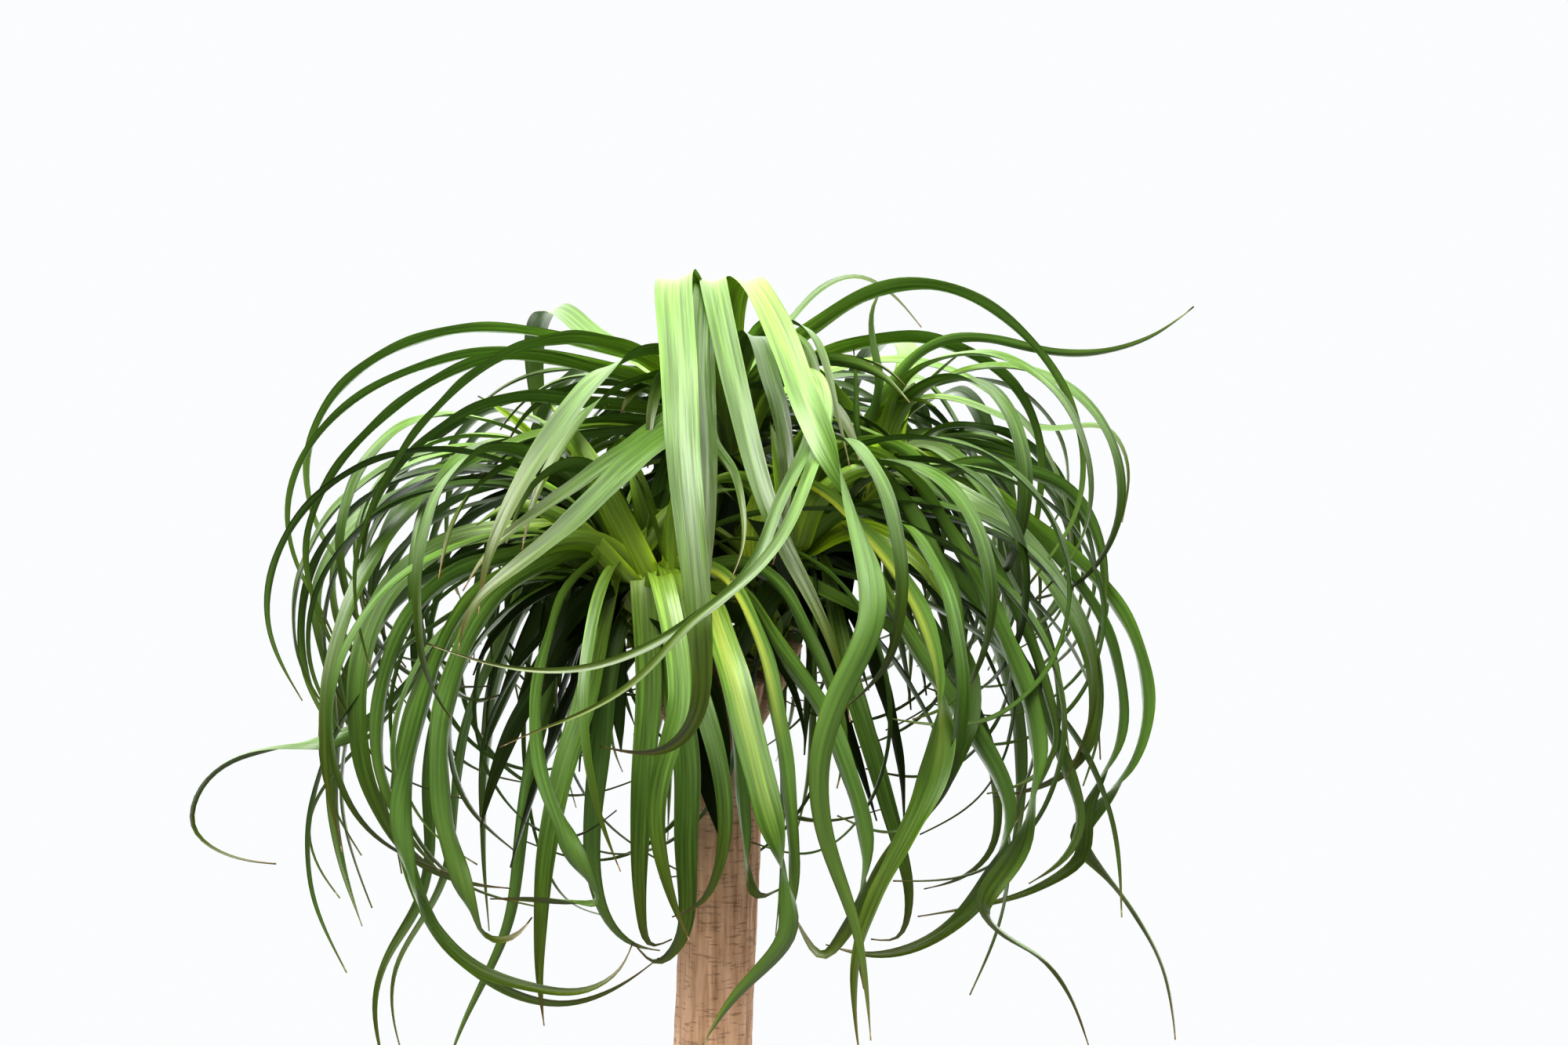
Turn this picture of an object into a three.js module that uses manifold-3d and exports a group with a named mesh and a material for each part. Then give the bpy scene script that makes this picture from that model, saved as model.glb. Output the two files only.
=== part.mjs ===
// A potted ponytail palm: a plain clay pot filled with soil, a woody trunk with a swollen foot that forks
// into five short stems, and on each stem a head of strap leaves that rise, arch over and curl in again
// below. Millimetres, +Z up. The origin is the centre of the pot's underside, and the plant is seen from
// -Y.
import * as THREE from 'three';
import { mergeVertices } from 'three/addons/utils/BufferGeometryUtils.js';
import Module from 'manifold-3d';

const wasm = await Module();
wasm.setup();

// Driving dimensions
const GAP = 0.35;   // clearance between pieces that rest against each other
const POT = {
  height: 220, rimRadius: 120, rimDrop: 46, rimStep: 7, footRadius: 84, wall: 9, thinner: 2, floor: 12,
  edge: 3, fillet: 6, sides: 44,
};
const SOIL = { top: 196, mound: 7, sides: 40, grain: 1.2, grainX: 7, grainY: 9 };
const TRUNK = {
  sides: 28, top: 742, radius: 27.5, footRadius: 71, footHeight: 224, footSpread: 68,
  lean: 0.03, leanFrom: 500, footStep: 18, upperFrom: 395, upperStep: 45,
  shoulder: [[16, 0], [5, 5], [0, 13]],   // the rounded top: how far below it, and how far in
};
// Folds down the bark. Each is how many go round, the climb over which they lean by a radian, where they
// start, how deep they are, and how fast they fade above the foot.
const FOLDS = [[3, 90, 0, 1, 0], [5, -60, 1, 1.4, 1], [8, Infinity, 2, 1.6, 2]];
// Heights of the trunk's rings below the soil, and how far each shows the folds of the bark.
const BURIED_RINGS = [[130, 0], [146, 0], [164, 0.3], [182, 0.7], [198, 1], [214, 1]];
const STEM = { radii: [16, 15, 14, 13], sunk: 22, belly: 0.4, sides: 7 };
const TUFT = {
  places: [0, 0.12, 0.6, 0.95, 1.05], footRadius: 12.5, neckRadius: 15.5, shoulder: 0.75, tip: 5, sides: 7,
};
const ROOT = { lowest: 0.16, low: 0.12, span: 0.7, droop: 0.3, below: 0.08, above: 0.12, out: 0.85 };
const BLADE = {
  // depth below the upper face, full from fullHalf, and width as a share at the root and how late it tapers
  keel: 1.9, thinKeel: 1, fullHalf: 5, root: 0.5, rootShare: 0.14, tipWidth: 1.6, taper: 3.6,
  // degrees and millimetres between sections, and how the strap turns its face
  maxTurn: 25, thinTurn: 32, thinWidth: 12, maxTwist: 48, maxStep: 120, peg: 0.6,
  headingStep: 24, ease: 0.15, turnShare: 0.26, rollFrom: 0.4,
};
const SIGHT = { x: 50, z: 880, distance: 1556 };   // the eye that the seen leaf points are given from
const CURVE_STEPS = 64;
const CLEAR = {
  distance: 12, nearDistance: 7, near: 12, from: 4, bend: 0.35, thrift: 0.4,
  otherDistance: 4.5, broad: 0.95, otherWeight: 12,
  slides: [0, 0.1, -0.1, 0.2], swings: [0, 7, -7, 14, -14, 21, -21, 28, -28, 36, -36, 45, -45],
};
const WELD = 0.05;          // corners nearer than this become one, and touching sheets part by as much
const SAME_PLACE = 0.005;   // corners nearer than this share a place

const COLOURS = {
  clay: [0xb8673f, 0.85],
  soil: [0x3a2a20, 0.95],
  bark: [0xa98069, 0.8],
  leaf: [0x4f7f2b, 0.45],
};

// Heads of leaves. foot is where the bare stem ends, heart is the middle of the tuft that the leaves leave.
const HEADS = {
  top: { foot: [4, 24, 800], heart: [5, 50, 938], radius: 17 },
  frontLeft: { foot: [-20, -26, 762], heart: [-50, -60, 846], radius: 18 },
  frontRight: { foot: [24, -14, 770], heart: [50, -30, 866], radius: 17 },
  right: { foot: [52, 24, 796], heart: [114, 52, 922], radius: 15 },
  left: { foot: [-44, 30, 784], heart: [-88, 60, 892], radius: 15 },
};

// Leaves as seen from the front. Each row is the head, the strap's width, how far it turns its face to the
// eye (1 is fully), where along it the strap turns over (0 if it does not), and then the points that it
// passes: x and z as they look in the plane through the trunk, and y, the real depth.
const SEEN_LEAVES = [
  // straps that arch over the top towards the eye
  ['top', 26, 0.35, 0, [[-12, 1030, -25], [-27, 1058, -85], [-26, 1005, -150], [-22, 930, -195],
    [-14, 850, -220], [-9, 785, -228], [-13, 742, -222], [-35, 718, -205], [-82, 720, -185]]],
  ['top', 18, 0.35, 0, [[-2, 1025, -15], [-5, 1052, -70], [-8, 1000, -125], [-5, 930, -165],
    [-5, 870, -190], [-7, 830, -200], [-6, 780, -205]]],
  ['top', 19, 0.35, 0, [[2, 1030, -20], [-2, 1058, -80], [8, 1010, -140], [20, 958, -180],
    [32, 912, -205], [52, 860, -225], [75, 815, -238], [90, 775, -240], [98, 735, -235]]],
  ['top', 21, 0.35, 0.52, [[12, 1030, -20], [22, 1056, -75], [45, 1022, -125], [64, 972, -165],
    [85, 920, -200], [104, 868, -225], [113, 815, -240], [93, 765, -240], [76, 712, -235],
    [80, 655, -225], [100, 595, -215], [112, 510, -210]]],
  ['top', 23, 0.35, 0, [[-15, 990, 0], [-45, 1003, -50], [-78, 988, -100], [-108, 952, -145],
    [-132, 915, -175], [-152, 875, -195], [-162, 845, -200], [-166, 815, -200]]],
  ['top', 16, 0.35, 0, [[-12, 965, -15], [-38, 950, -60], [-68, 928, -100], [-100, 905, -135],
    [-135, 880, -160], [-160, 857, -172], [-176, 832, -178]]],
  ['top', 21, 0.35, 0, [[-8, 955, -30], [-36, 940, -80], [-62, 918, -120], [-88, 892, -150],
    [-122, 862, -180], [-150, 840, -195], [-170, 818, -200], [-178, 790, -200]]],
  ['top', 16, 0.35, 0, [[-18, 985, -10], [-40, 988, -40], [-66, 981, -75], [-90, 965, -105],
    [-110, 938, -130], [-130, 900, -150], [-140, 860, -160]]],
  ['top', 19, 0.35, 0, [[-20, 945, 0], [-56, 947, -40], [-108, 940, -80], [-150, 922, -110],
    [-176, 902, -130], [-190, 875, -142], [-198, 840, -150]]],
  ['top', 17, 0.35, 0, [[18, 1000, 10], [28, 1014, -20], [40, 985, -60], [49, 950, -85], [52, 915, -100],
    [49, 880, -108], [42, 850, -110]]],
  ['top', 14, 0.35, 0, [[25, 1005, 10], [38, 1024, -5], [55, 1020, -25], [69, 1000, -45], [74, 970, -60],
    [70, 930, -70]]],
  ['top', 9, 0.3, 0, [[30, 1008, 0], [52, 1024, -30], [70, 1015, -60], [81, 990, -85], [88, 960, -100],
    [97, 920, -110]]],
  ['top', 8, 0.3, 0, [[0, 950, -30], [2, 936, -75], [14, 918, -110], [21, 893, -135], [21, 862, -150],
    [13, 840, -158]]],
  // straps from the top head that go left
  ['top', 15, 0.35, 0, [[-30, 985, 50], [-75, 1003, 45], [-120, 1015, 40], [-175, 1019, 35],
    [-230, 1004, 30], [-268, 976, 25], [-288, 940, 20], [-290, 900, 15], [-277, 865, 10], [-258, 838, 5],
    [-238, 800, 0]]],
  ['top', 14, 0.35, 0, [[-35, 975, 40], [-90, 995, 20], [-150, 1003, 5], [-215, 990, -10],
    [-265, 962, -20], [-295, 925, -25], [-305, 885, -28], [-298, 850, -28], [-280, 815, -25],
    [-265, 780, -20]]],
  ['top', 17, 0.35, 0, [[-30, 970, 30], [-85, 990, 0], [-145, 1000, -25], [-200, 982, -45],
    [-243, 950, -60], [-275, 912, -70], [-291, 870, -75], [-288, 830, -75], [-272, 790, -70],
    [-255, 745, -62]]],
  ['top', 20, 0.35, 0, [[-30, 985, 30], [-65, 1005, 0], [-110, 1012, -35], [-155, 998, -65],
    [-192, 970, -90], [-225, 930, -110], [-246, 890, -122], [-257, 850, -128], [-256, 815, -130],
    [-246, 775, -128]]],
  ['top', 19, 0.35, 0, [[-30, 955, 30], [-80, 965, 0], [-140, 970, -30], [-185, 955, -55],
    [-222, 925, -75], [-243, 893, -88], [-252, 855, -92], [-250, 815, -92]]],
  ['top', 24, 0.35, 0, [[-35, 985, 85], [-80, 1010, 130], [-116, 1034, 185], [-128, 1010, 235],
    [-125, 960, 265], [-115, 900, 280]]],
  // straps from the top head that go right
  ['top', 17, 0.35, 0, [[30, 985, 20], [68, 1018, 0], [100, 1039, -15], [145, 1051, -30],
    [195, 1036, -45], [235, 1000, -60], [258, 958, -70], [264, 915, -75], [255, 878, -75],
    [235, 848, -70], [212, 818, -60]]],
  ['top', 20, 0.35, 0, [[40, 975, 50], [75, 999, 45], [110, 1010, 40], [150, 1012, 35], [190, 998, 30],
    [222, 968, 25], [234, 925, 25], [232, 890, 30], [226, 860, 35], [215, 820, 45]]],
  ['top', 13, 0.35, 0, [[45, 970, 60], [85, 990, 60], [125, 997, 60], [165, 991, 60], [205, 968, 60],
    [233, 938, 60], [250, 900, 60], [256, 860, 60], [252, 810, 60]]],
  ['top', 7, 0.3, 0, [[25, 990, 40], [55, 1028, 40], [78, 1051, 40], [103, 1059, 40], [125, 1049, 40],
    [150, 1022, 40]]],
  // two long thin leaves that cross in front of the heart
  ['top', 9, 0.3, 0, [[40, 990, -20], [62, 985, -90], [69, 944, -150], [45, 890, -200], [26, 847, -225],
    [-15, 811, -235], [-53, 789, -238], [-97, 776, -238], [-137, 776, -236], [-164, 781, -234],
    [-204, 794, -230]]],
  ['top', 9, 0.3, 0, [[50, 985, -10], [80, 960, -120], [66, 910, -180], [48, 870, -215], [20, 838, -232],
    [-16, 809, -236], [-48, 775, -236], [-90, 747, -232], [-125, 733, -226], [-150, 722, -220]]],
  // straps of the front left head
  ['frontLeft', 22, 0.6, 0.66, [[-12, 838, -95], [2, 812, -125], [16, 765, -155], [30, 710, -170],
    [42, 660, -178], [51, 615, -180], [53, 590, -178], [38, 566, -172], [12, 538, -165],
    [-8, 507, -160]]],
  ['frontLeft', 20, 0.6, 0, [[-5, 848, -90], [15, 834, -118], [32, 800, -142], [45, 750, -160],
    [53, 695, -170], [57, 645, -174], [56, 610, -172], [48, 580, -168]]],
  ['frontLeft', 20, 0.6, 0.8, [[20, 830, -85], [45, 795, -115], [75, 752, -140], [97, 700, -155],
    [109, 650, -160], [105, 610, -158], [90, 582, -152], [77, 571, -146], [64, 586, -138],
    [56, 602, -130]]],
  ['frontLeft', 17, 0.6, 0, [[15, 850, -70], [45, 838, -95], [62, 812, -115], [76, 782, -128],
    [87, 755, -135], [93, 720, -138], [88, 690, -138]]],
  ['frontLeft', 15, 0.6, 0, [[-36, 850, -85], [-30, 832, -112], [-22, 795, -140], [-8, 750, -158],
    [4, 705, -166], [8, 665, -168], [3, 632, -165], [-10, 608, -158], [-30, 598, -150]]],
  ['frontLeft', 19, 0.6, 0.78, [[-75, 853, -80], [-102, 840, -110], [-119, 800, -140], [-128, 750, -158],
    [-123, 700, -165], [-107, 658, -165], [-90, 628, -160], [-82, 611, -152], [-110, 609, -140],
    [-160, 611, -125]]],
  ['frontLeft', 9, 0.3, 0, [[-65, 852, -90], [-80, 838, -125], [-90, 800, -155], [-95, 755, -172],
    [-91, 705, -178], [-82, 665, -178], [-68, 628, -172]]],
  ['frontLeft', 24, 0.6, 0.85, [[-80, 856, -75], [-125, 850, -105], [-160, 824, -135], [-184, 780, -155],
    [-196, 730, -168], [-195, 680, -172], [-184, 635, -170], [-170, 598, -164], [-160, 583, -156],
    [-142, 585, -146], [-130, 598, -138]]],
  ['frontLeft', 19, 0.6, 0, [[-85, 862, -60], [-140, 858, -85], [-190, 841, -110], [-222, 805, -130],
    [-237, 758, -142], [-239, 712, -146], [-229, 680, -144], [-215, 655, -138], [-195, 632, -130]]],
  ['frontLeft', 19, 0.6, 0, [[-85, 868, -50], [-140, 876, -70], [-190, 868, -90], [-230, 842, -105],
    [-255, 800, -115], [-263, 750, -120], [-259, 705, -120], [-244, 665, -116], [-222, 636, -108],
    [-185, 617, -98], [-150, 612, -90]]],
  ['frontLeft', 16, 0.6, 0.6, [[-80, 858, -70], [-135, 852, -100], [-178, 822, -128], [-203, 770, -148],
    [-217, 718, -158], [-224, 675, -160], [-219, 640, -156], [-205, 600, -148], [-175, 565, -138],
    [-130, 548, -125], [-92, 546, -112], [-66, 563, -100], [-58, 580, -95]]],
  ['frontLeft', 15, 0.6, 0, [[-95, 850, -30], [-160, 830, -45], [-205, 775, -60], [-226, 710, -70],
    [-222, 640, -72], [-200, 585, -70], [-160, 548, -65], [-112, 533, -58], [-70, 545, -50],
    [-40, 566, -45]]],
  ['frontLeft', 19, 0.6, 0, [[-60, 855, -80], [-80, 815, -115], [-95, 750, -132], [-110, 700, -138],
    [-121, 650, -140], [-126, 600, -138], [-127, 545, -132], [-124, 515, -128]]],
  ['frontLeft', 17, 0.6, 0, [[-58, 850, -45], [-72, 800, -66], [-82, 730, -76], [-89, 660, -78],
    [-86, 615, -76], [-74, 587, -72], [-58, 574, -66], [-40, 570, -60]]],
  ['frontLeft', 18, 0.6, 0, [[-50, 845, -85], [-47, 780, -100], [-50, 710, -102], [-53, 650, -98],
    [-52, 600, -92], [-44, 578, -84], [-30, 582, -76]]],
  ['frontLeft', 16, 0.6, 0, [[-38, 845, -95], [-24, 790, -120], [-24, 745, -128], [-35, 705, -130],
    [-38, 670, -130], [-32, 635, -126], [-24, 610, -120], [-15, 590, -112]]],
  ['frontLeft', 20, 0.6, 0, [[-42, 840, -75], [-28, 770, -92], [-19, 700, -98], [-20, 650, -98],
    [-19, 610, -95], [-26, 578, -90], [-42, 566, -82], [-58, 580, -74]]],
  ['frontLeft', 18, 0.6, 0.85, [[-20, 845, -80], [5, 790, -96], [18, 725, -96], [21, 680, -92],
    [24, 638, -88], [32, 612, -82], [45, 615, -75], [60, 625, -68]]],
  ['frontLeft', 18, 0.6, 0, [[-62, 875, -65], [-72, 895, -75], [-84, 914, -95], [-104, 922, -125],
    [-132, 905, -160], [-150, 865, -180]]],
  ['frontLeft', 14, 0.6, 0, [[-44, 872, -60], [-42, 898, -66], [-34, 925, -80], [-18, 940, -105],
    [6, 925, -130], [20, 890, -145]]],
  ['frontLeft', 13, 0.6, 0, [[-90, 850, -30], [-150, 830, -35], [-190, 770, -38], [-208, 700, -40],
    [-207, 640, -40], [-216, 602, -40], [-236, 568, -38], [-246, 535, -38], [-243, 500, -36],
    [-235, 470, -36]]],
  ['frontLeft', 11, 0.6, 0, [[-72, 850, -35], [-100, 810, -44], [-125, 740, -50], [-140, 660, -54],
    [-150, 590, -56], [-165, 553, -56], [-182, 518, -58], [-196, 480, -58]]],
  // straps of the left head
  ['left', 17, 0.4, 0, [[-130, 905, 60], [-190, 908, 50], [-235, 896, 40], [-268, 867, 30],
    [-284, 830, 25], [-280, 790, 20], [-265, 745, 20], [-245, 700, 25]]],
  ['left', 17, 0.4, 0, [[-130, 925, 50], [-170, 930, 40], [-205, 918, 30], [-235, 885, 20],
    [-250, 840, 15], [-248, 790, 15], [-235, 740, 20]]],
  ['left', 14, 0.4, 0.62, [[-130, 880, 10], [-185, 815, -30], [-225, 762, -50], [-262, 728, -60],
    [-300, 718, -65], [-345, 709, -70], [-373, 686, -75], [-378, 660, -75], [-352, 639, -75],
    [-318, 633, -75]]],
  ['left', 9, 0.3, 0, [[-140, 860, 20], [-200, 790, 0], [-245, 730, -10], [-275, 698, -15],
    [-291, 664, -20], [-284, 632, -20], [-269, 610, -20]]],
  ['left', 12, 0.4, 0, [[-112, 880, 30], [-150, 815, 8], [-178, 750, -8], [-192, 680, -16],
    [-200, 620, -20], [-218, 585, -22], [-236, 550, -24], [-238, 520, -26], [-230, 485, -26]]],
  // straps of the front right head
  ['frontRight', 24, 0.6, 0.6, [[45, 905, -50], [75, 905, -85], [105, 877, -118], [132, 843, -146],
    [152, 803, -164], [162, 758, -172], [159, 718, -172], [140, 670, -168], [113, 617, -160],
    [101, 580, -155], [99, 545, -152], [103, 505, -150]]],
  ['frontRight', 21, 0.6, 0.58, [[72, 915, -45], [100, 926, -70], [128, 908, -95], [152, 872, -118],
    [172, 828, -134], [184, 785, -142], [184, 742, -144], [170, 700, -142], [143, 658, -136],
    [115, 620, -128], [103, 580, -122], [108, 540, -118]]],
  ['frontRight', 23, 0.6, 0.7, [[75, 925, -30], [112, 930, -52], [145, 910, -78], [172, 870, -102],
    [198, 822, -122], [220, 772, -136], [233, 722, -142], [229, 675, -142], [212, 635, -136],
    [193, 602, -128], [205, 585, -120], [236, 565, -114], [256, 538, -110], [269, 503, -106]]],
  ['frontRight', 16, 0.6, 0, [[80, 922, -12], [120, 938, -28], [158, 912, -50], [185, 878, -70],
    [208, 835, -86], [228, 792, -98], [241, 750, -104], [244, 720, -104], [228, 698, -102],
    [195, 686, -98]]],
  ['frontRight', 19, 0.6, 0, [[85, 912, -5], [135, 915, -12], [180, 898, -26], [218, 870, -40],
    [250, 828, -52], [269, 785, -60], [273, 745, -62], [262, 712, -60], [235, 692, -54],
    [200, 684, -46]]],
  ['frontRight', 19, 0.6, 0, [[85, 890, -20], [130, 878, -42], [175, 838, -64], [212, 790, -80],
    [238, 742, -88], [256, 695, -90], [262, 665, -86], [250, 640, -78], [225, 622, -68]]],
  ['frontRight', 20, 0.6, 0.68, [[75, 880, -45], [112, 850, -75], [143, 795, -98], [172, 752, -110],
    [198, 712, -116], [212, 675, -116], [206, 640, -110], [185, 605, -100], [150, 578, -90],
    [110, 570, -80], [80, 577, -72]]],
  ['frontRight', 16, 0.6, 0, [[70, 860, -40], [90, 800, -56], [106, 740, -62], [122, 685, -62],
    [135, 640, -58], [139, 605, -52], [130, 583, -46], [112, 582, -40]]],
  ['frontRight', 15, 0.6, 0, [[90, 885, 0], [135, 840, 8], [170, 780, 14], [196, 720, 18], [203, 675, 18],
    [197, 645, 18], [180, 628, 16], [150, 618, 14]]],
  // straps of the right head
  ['right', 19, 0.45, 0.7, [[150, 925, 40], [195, 905, 25], [240, 870, 8], [280, 832, -8],
    [303, 790, -20], [309, 745, -26], [297, 705, -28], [272, 675, -26], [260, 655, -22], [272, 636, -20],
    [300, 600, -18], [320, 560, -18], [328, 512, -18]]],
  ['right', 17, 0.45, 0.72, [[150, 915, 30], [200, 895, 10], [245, 855, -10], [277, 810, -26],
    [291, 760, -36], [285, 712, -40], [265, 672, -38], [262, 645, -34], [240, 625, -28], [200, 610, -20],
    [145, 600, -12]]],
  ['right', 17, 0.45, 0, [[135, 940, 55], [170, 945, 50], [205, 940, 45], [238, 915, 40], [255, 890, 38],
    [262, 850, 38], [258, 800, 42]]],
  ['right', 16, 0.45, 0, [[140, 912, 42], [175, 920, 35], [215, 917, 25], [250, 902, 18], [268, 872, 12],
    [274, 838, 10], [268, 795, 10]]],
  ['right', 16, 0.45, 0, [[125, 935, 30], [150, 938, 5], [175, 928, -18], [200, 903, -38],
    [215, 870, -50], [222, 830, -56], [220, 780, -58]]],
  ['right', 10, 0.45, 0, [[140, 966, 60], [175, 970, 55], [215, 955, 50], [250, 949, 46], [285, 948, 42],
    [298, 930, 40], [300, 905, 40], [296, 880, 40]]],
  ['right', 10, 0.45, 0, [[108, 950, 40], [122, 972, 35], [142, 997, 30], [168, 1010, 25],
    [203, 1009, 20], [240, 1001, 15], [280, 1002, 12], [312, 1013, 10], [340, 1033, 8]]],
  ['right', 9, 0.3, 0, [[112, 955, 30], [118, 980, 15], [113, 1010, 10], [114, 1035, 8], [123, 1051, 5]]],
  ['right', 6, 0.3, 0, [[104, 940, 20], [101, 968, 8], [99, 1003, 0]]],
  ['right', 14, 0.45, 0, [[118, 958, 80], [130, 983, 110], [145, 970, 140], [152, 945, 160],
    [156, 915, 170], [158, 880, 175]]],
  ['right', 11, 0.45, 0, [[122, 962, 70], [145, 984, 85], [168, 962, 100], [188, 925, 112],
    [203, 885, 120], [212, 840, 125]]],
];

// Leaves that fill the crown where it isn't seen from the front: for each head how many, the middle of
// their fan and its spread in degrees seen from above (0 is +X, 90 is away from the eye), and their length
// range.
const FILLING = [
  { head: 'top', count: 14, aim: 90, spread: 130, length: [420, 600] },
  { head: 'left', count: 14, aim: 150, spread: 210, length: [360, 500] },
  { head: 'right', count: 13, aim: 40, spread: 200, length: [360, 480] },
  { head: 'frontLeft', count: 6, aim: 190, spread: 100, length: [380, 480] },
  { head: 'frontRight', count: 7, aim: 325, spread: 120, length: [380, 480] },
];
const FILL = {
  rise: [30, 78], fall: [125, 200],   // slope at the tuft and how far past level the tip hangs, degrees
  drift: [-35, 35], stray: [-9, 9], width: [11, 19], roll: [-20, 20], tipRoll: [-50, 50],
  points: 7, substeps: 4, early: 0.75, shorten: 0.95,
};
const CROWN_REACH = 296;    // a filling leaf is shortened until it stays this near to the trunk's line
const SEED = 25;

const radians = THREE.MathUtils.degToRad;
const vector = (a) => new THREE.Vector3(a[0], a[1], a[2]);

// An even step from 0 to 1.
function smooth(t) {
  const c = THREE.MathUtils.clamp(t, 0, 1);
  return c * c * (3 - 2 * c);
}

// A small seeded generator, so that every build grows the same plant.
function randomFrom(seed) {
  let state = seed >>> 0;
  return () => {
    state = (state + 0x6d2b79f5) >>> 0;
    let t = Math.imul(state ^ (state >>> 15), state | 1);
    t ^= t + Math.imul(t ^ (t >>> 7), t | 61);
    return ((t ^ (t >>> 14)) >>> 0) / 4294967296;
  };
}

// The real place of a point that is seen at x and z in the plane through the trunk and lies at depth y.
function alongSight([x, z, y]) {
  const grow = (SIGHT.distance + y) / SIGHT.distance;
  return new THREE.Vector3(SIGHT.x + (x - SIGHT.x) * grow, y, SIGHT.z + (z - SIGHT.z) * grow);
}

// A smooth line through points, as a natural cubic spline over their chord lengths.
function smoothLine(points, steps) {
  const knots = [0];
  points.slice(1).forEach((p, i) => knots.push(knots[i] + p.distanceTo(points[i])));
  const last = points.length - 1;
  const spans = knots.slice(1).map((k, i) => k - knots[i]);
  const axes = ['x', 'y', 'z'].map((axis) => {
    const value = points.map((p) => p[axis]);
    const bend = new Array(last + 1).fill(0);
    const upper = new Array(last + 1).fill(0);
    for (let i = 1; i < last; i++) {
      const pivot = 2 * (spans[i - 1] + spans[i]) - spans[i - 1] * upper[i - 1];
      const jump = (value[i + 1] - value[i]) / spans[i] - (value[i] - value[i - 1]) / spans[i - 1];
      upper[i] = spans[i] / pivot;
      bend[i] = (6 * jump - spans[i - 1] * bend[i - 1]) / pivot;
    }
    for (let i = last - 1; i > 0; i--) bend[i] -= upper[i] * bend[i + 1];
    return { value, bend };
  });
  const line = [];
  for (let n = 0; n <= steps; n++) {
    const at = (n / steps) * knots[last];
    let i = 0;
    while (i < last - 1 && at > knots[i + 1]) i++;
    const h = spans[i];
    const b = (at - knots[i]) / h;
    const a = 1 - b;
    line.push(new THREE.Vector3(...axes.map(({ value, bend }) => a * value[i] + b * value[i + 1]
      + ((a ** 3 - a) * bend[i] + (b ** 3 - b) * bend[i + 1]) * h * h / 6)));
  }
  return line;
}

// A closed solid from rings of the same number of points, each counter-clockwise seen from the last ring.
function solidFromRings(rings) {
  const sides = rings[0].length;
  const positions = rings.flat().flatMap((p) => [p.x, p.y, p.z]);
  const faces = [];
  for (let r = 0; r < rings.length - 1; r++) {
    for (let i = 0; i < sides; i++) {
      const [a, b] = [r * sides + i, r * sides + (i + 1) % sides];
      faces.push(a, b, b + sides, a, b + sides, a + sides);
    }
  }
  const end = (rings.length - 1) * sides;
  for (let i = 1; i < sides - 1; i++) {
    faces.push(0, i + 1, i, end, end + i, end + i + 1);
  }
  return new wasm.Manifold(new wasm.Mesh({
    numProp: 3,
    vertProperties: new Float32Array(positions),
    triVerts: new Uint32Array(faces),
  }));
}

// A three.js geometry as a manifold solid, and a manifold solid as a three.js geometry.
function toSolid(geometry) {
  const bare = geometry.clone();
  bare.deleteAttribute('normal');
  bare.deleteAttribute('uv');
  const merged = mergeVertices(bare, 1e-3);
  return new wasm.Manifold(new wasm.Mesh({
    numProp: 3,
    vertProperties: new Float32Array(merged.attributes.position.array),
    triVerts: new Uint32Array(merged.index.array),
  }));
}

function toGeometry(solid) {
  const mesh = solid.getMesh();
  const geometry = new THREE.BufferGeometry();
  geometry.setAttribute('position', new THREE.BufferAttribute(new Float32Array(mesh.vertProperties), 3));
  geometry.setIndex(new THREE.BufferAttribute(new Uint32Array(mesh.triVerts), 1));
  geometry.computeVertexNormals();
  return geometry;
}

// A turned solid about Z from [radius, z] pairs.
function turned(profile, sides) {
  const lathe = new THREE.LatheGeometry(profile.map(([r, z]) => new THREE.Vector2(r, z)), sides);
  return toSolid(lathe.rotateX(Math.PI / 2));
}

// Pot
function potWalls() {
  const { height, rimRadius, rimDrop, rimStep, footRadius, wall, thinner, floor } = POT;
  const shoulder = rimRadius - rimStep;
  const underRim = height - rimDrop;
  const innerTop = rimRadius - wall - thinner;
  const innerFoot = footRadius + (shoulder - footRadius) * (floor / underRim) - wall;
  return { shoulder, underRim, innerTop, innerFoot };
}

function makePot() {
  const { height, rimRadius, footRadius, floor, edge, fillet } = POT;
  const { shoulder, underRim, innerTop, innerFoot } = potWalls();
  const profile = [
    [0, 0], [footRadius - edge, 0], [footRadius, edge], [shoulder, underRim],
    [rimRadius - edge, underRim + edge], [rimRadius, underRim + 2 * edge], [rimRadius, height - fillet],
    [rimRadius - edge, height - edge / 3], [rimRadius - fillet, height],
    [innerTop + edge, height - edge / 3], [innerTop, height - edge],
    [innerFoot + fillet, floor + fillet], [innerFoot, floor], [0, floor],
  ];
  return turned(profile, POT.sides);
}

// Radius of the pot's inside at height z.
function potInside(z) {
  const { height, floor, edge, fillet } = POT;
  const { innerTop, innerFoot } = potWalls();
  if (z <= floor + fillet) return innerFoot + z - floor;
  const share = (z - floor - fillet) / (height - edge - floor - fillet);
  return innerFoot + fillet + (innerTop - innerFoot - fillet) * share;
}

// Trunk
function trunkRadius(z) {
  const { radius, footRadius, footHeight, footSpread } = TRUNK;
  const swell = Math.exp(-(((z - footHeight) / footSpread) ** 2));
  return radius + (footRadius - radius) * swell;
}

// One ring of the trunk at height z: relief is how far it shows the folds of the bark, extra widens it.
function trunkRing(z, relief, extra) {
  const ring = [];
  for (let i = 0; i < TRUNK.sides; i++) {
    const turn = (i / TRUNK.sides) * 2 * Math.PI;
    const foot = trunkRadius(z) / TRUNK.footRadius;
    let folds = 0;
    for (const [count, climb, start, depth, fade] of FOLDS) {
      folds += depth * foot ** fade * Math.sin(count * turn + z / climb + start);
    }
    const r = trunkRadius(z) + relief * folds + extra;
    const aside = TRUNK.lean * Math.max(0, z - TRUNK.leanFrom);
    ring.push(new THREE.Vector3(r * Math.cos(turn) + aside, r * Math.sin(turn), z));
  }
  return ring;
}

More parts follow.
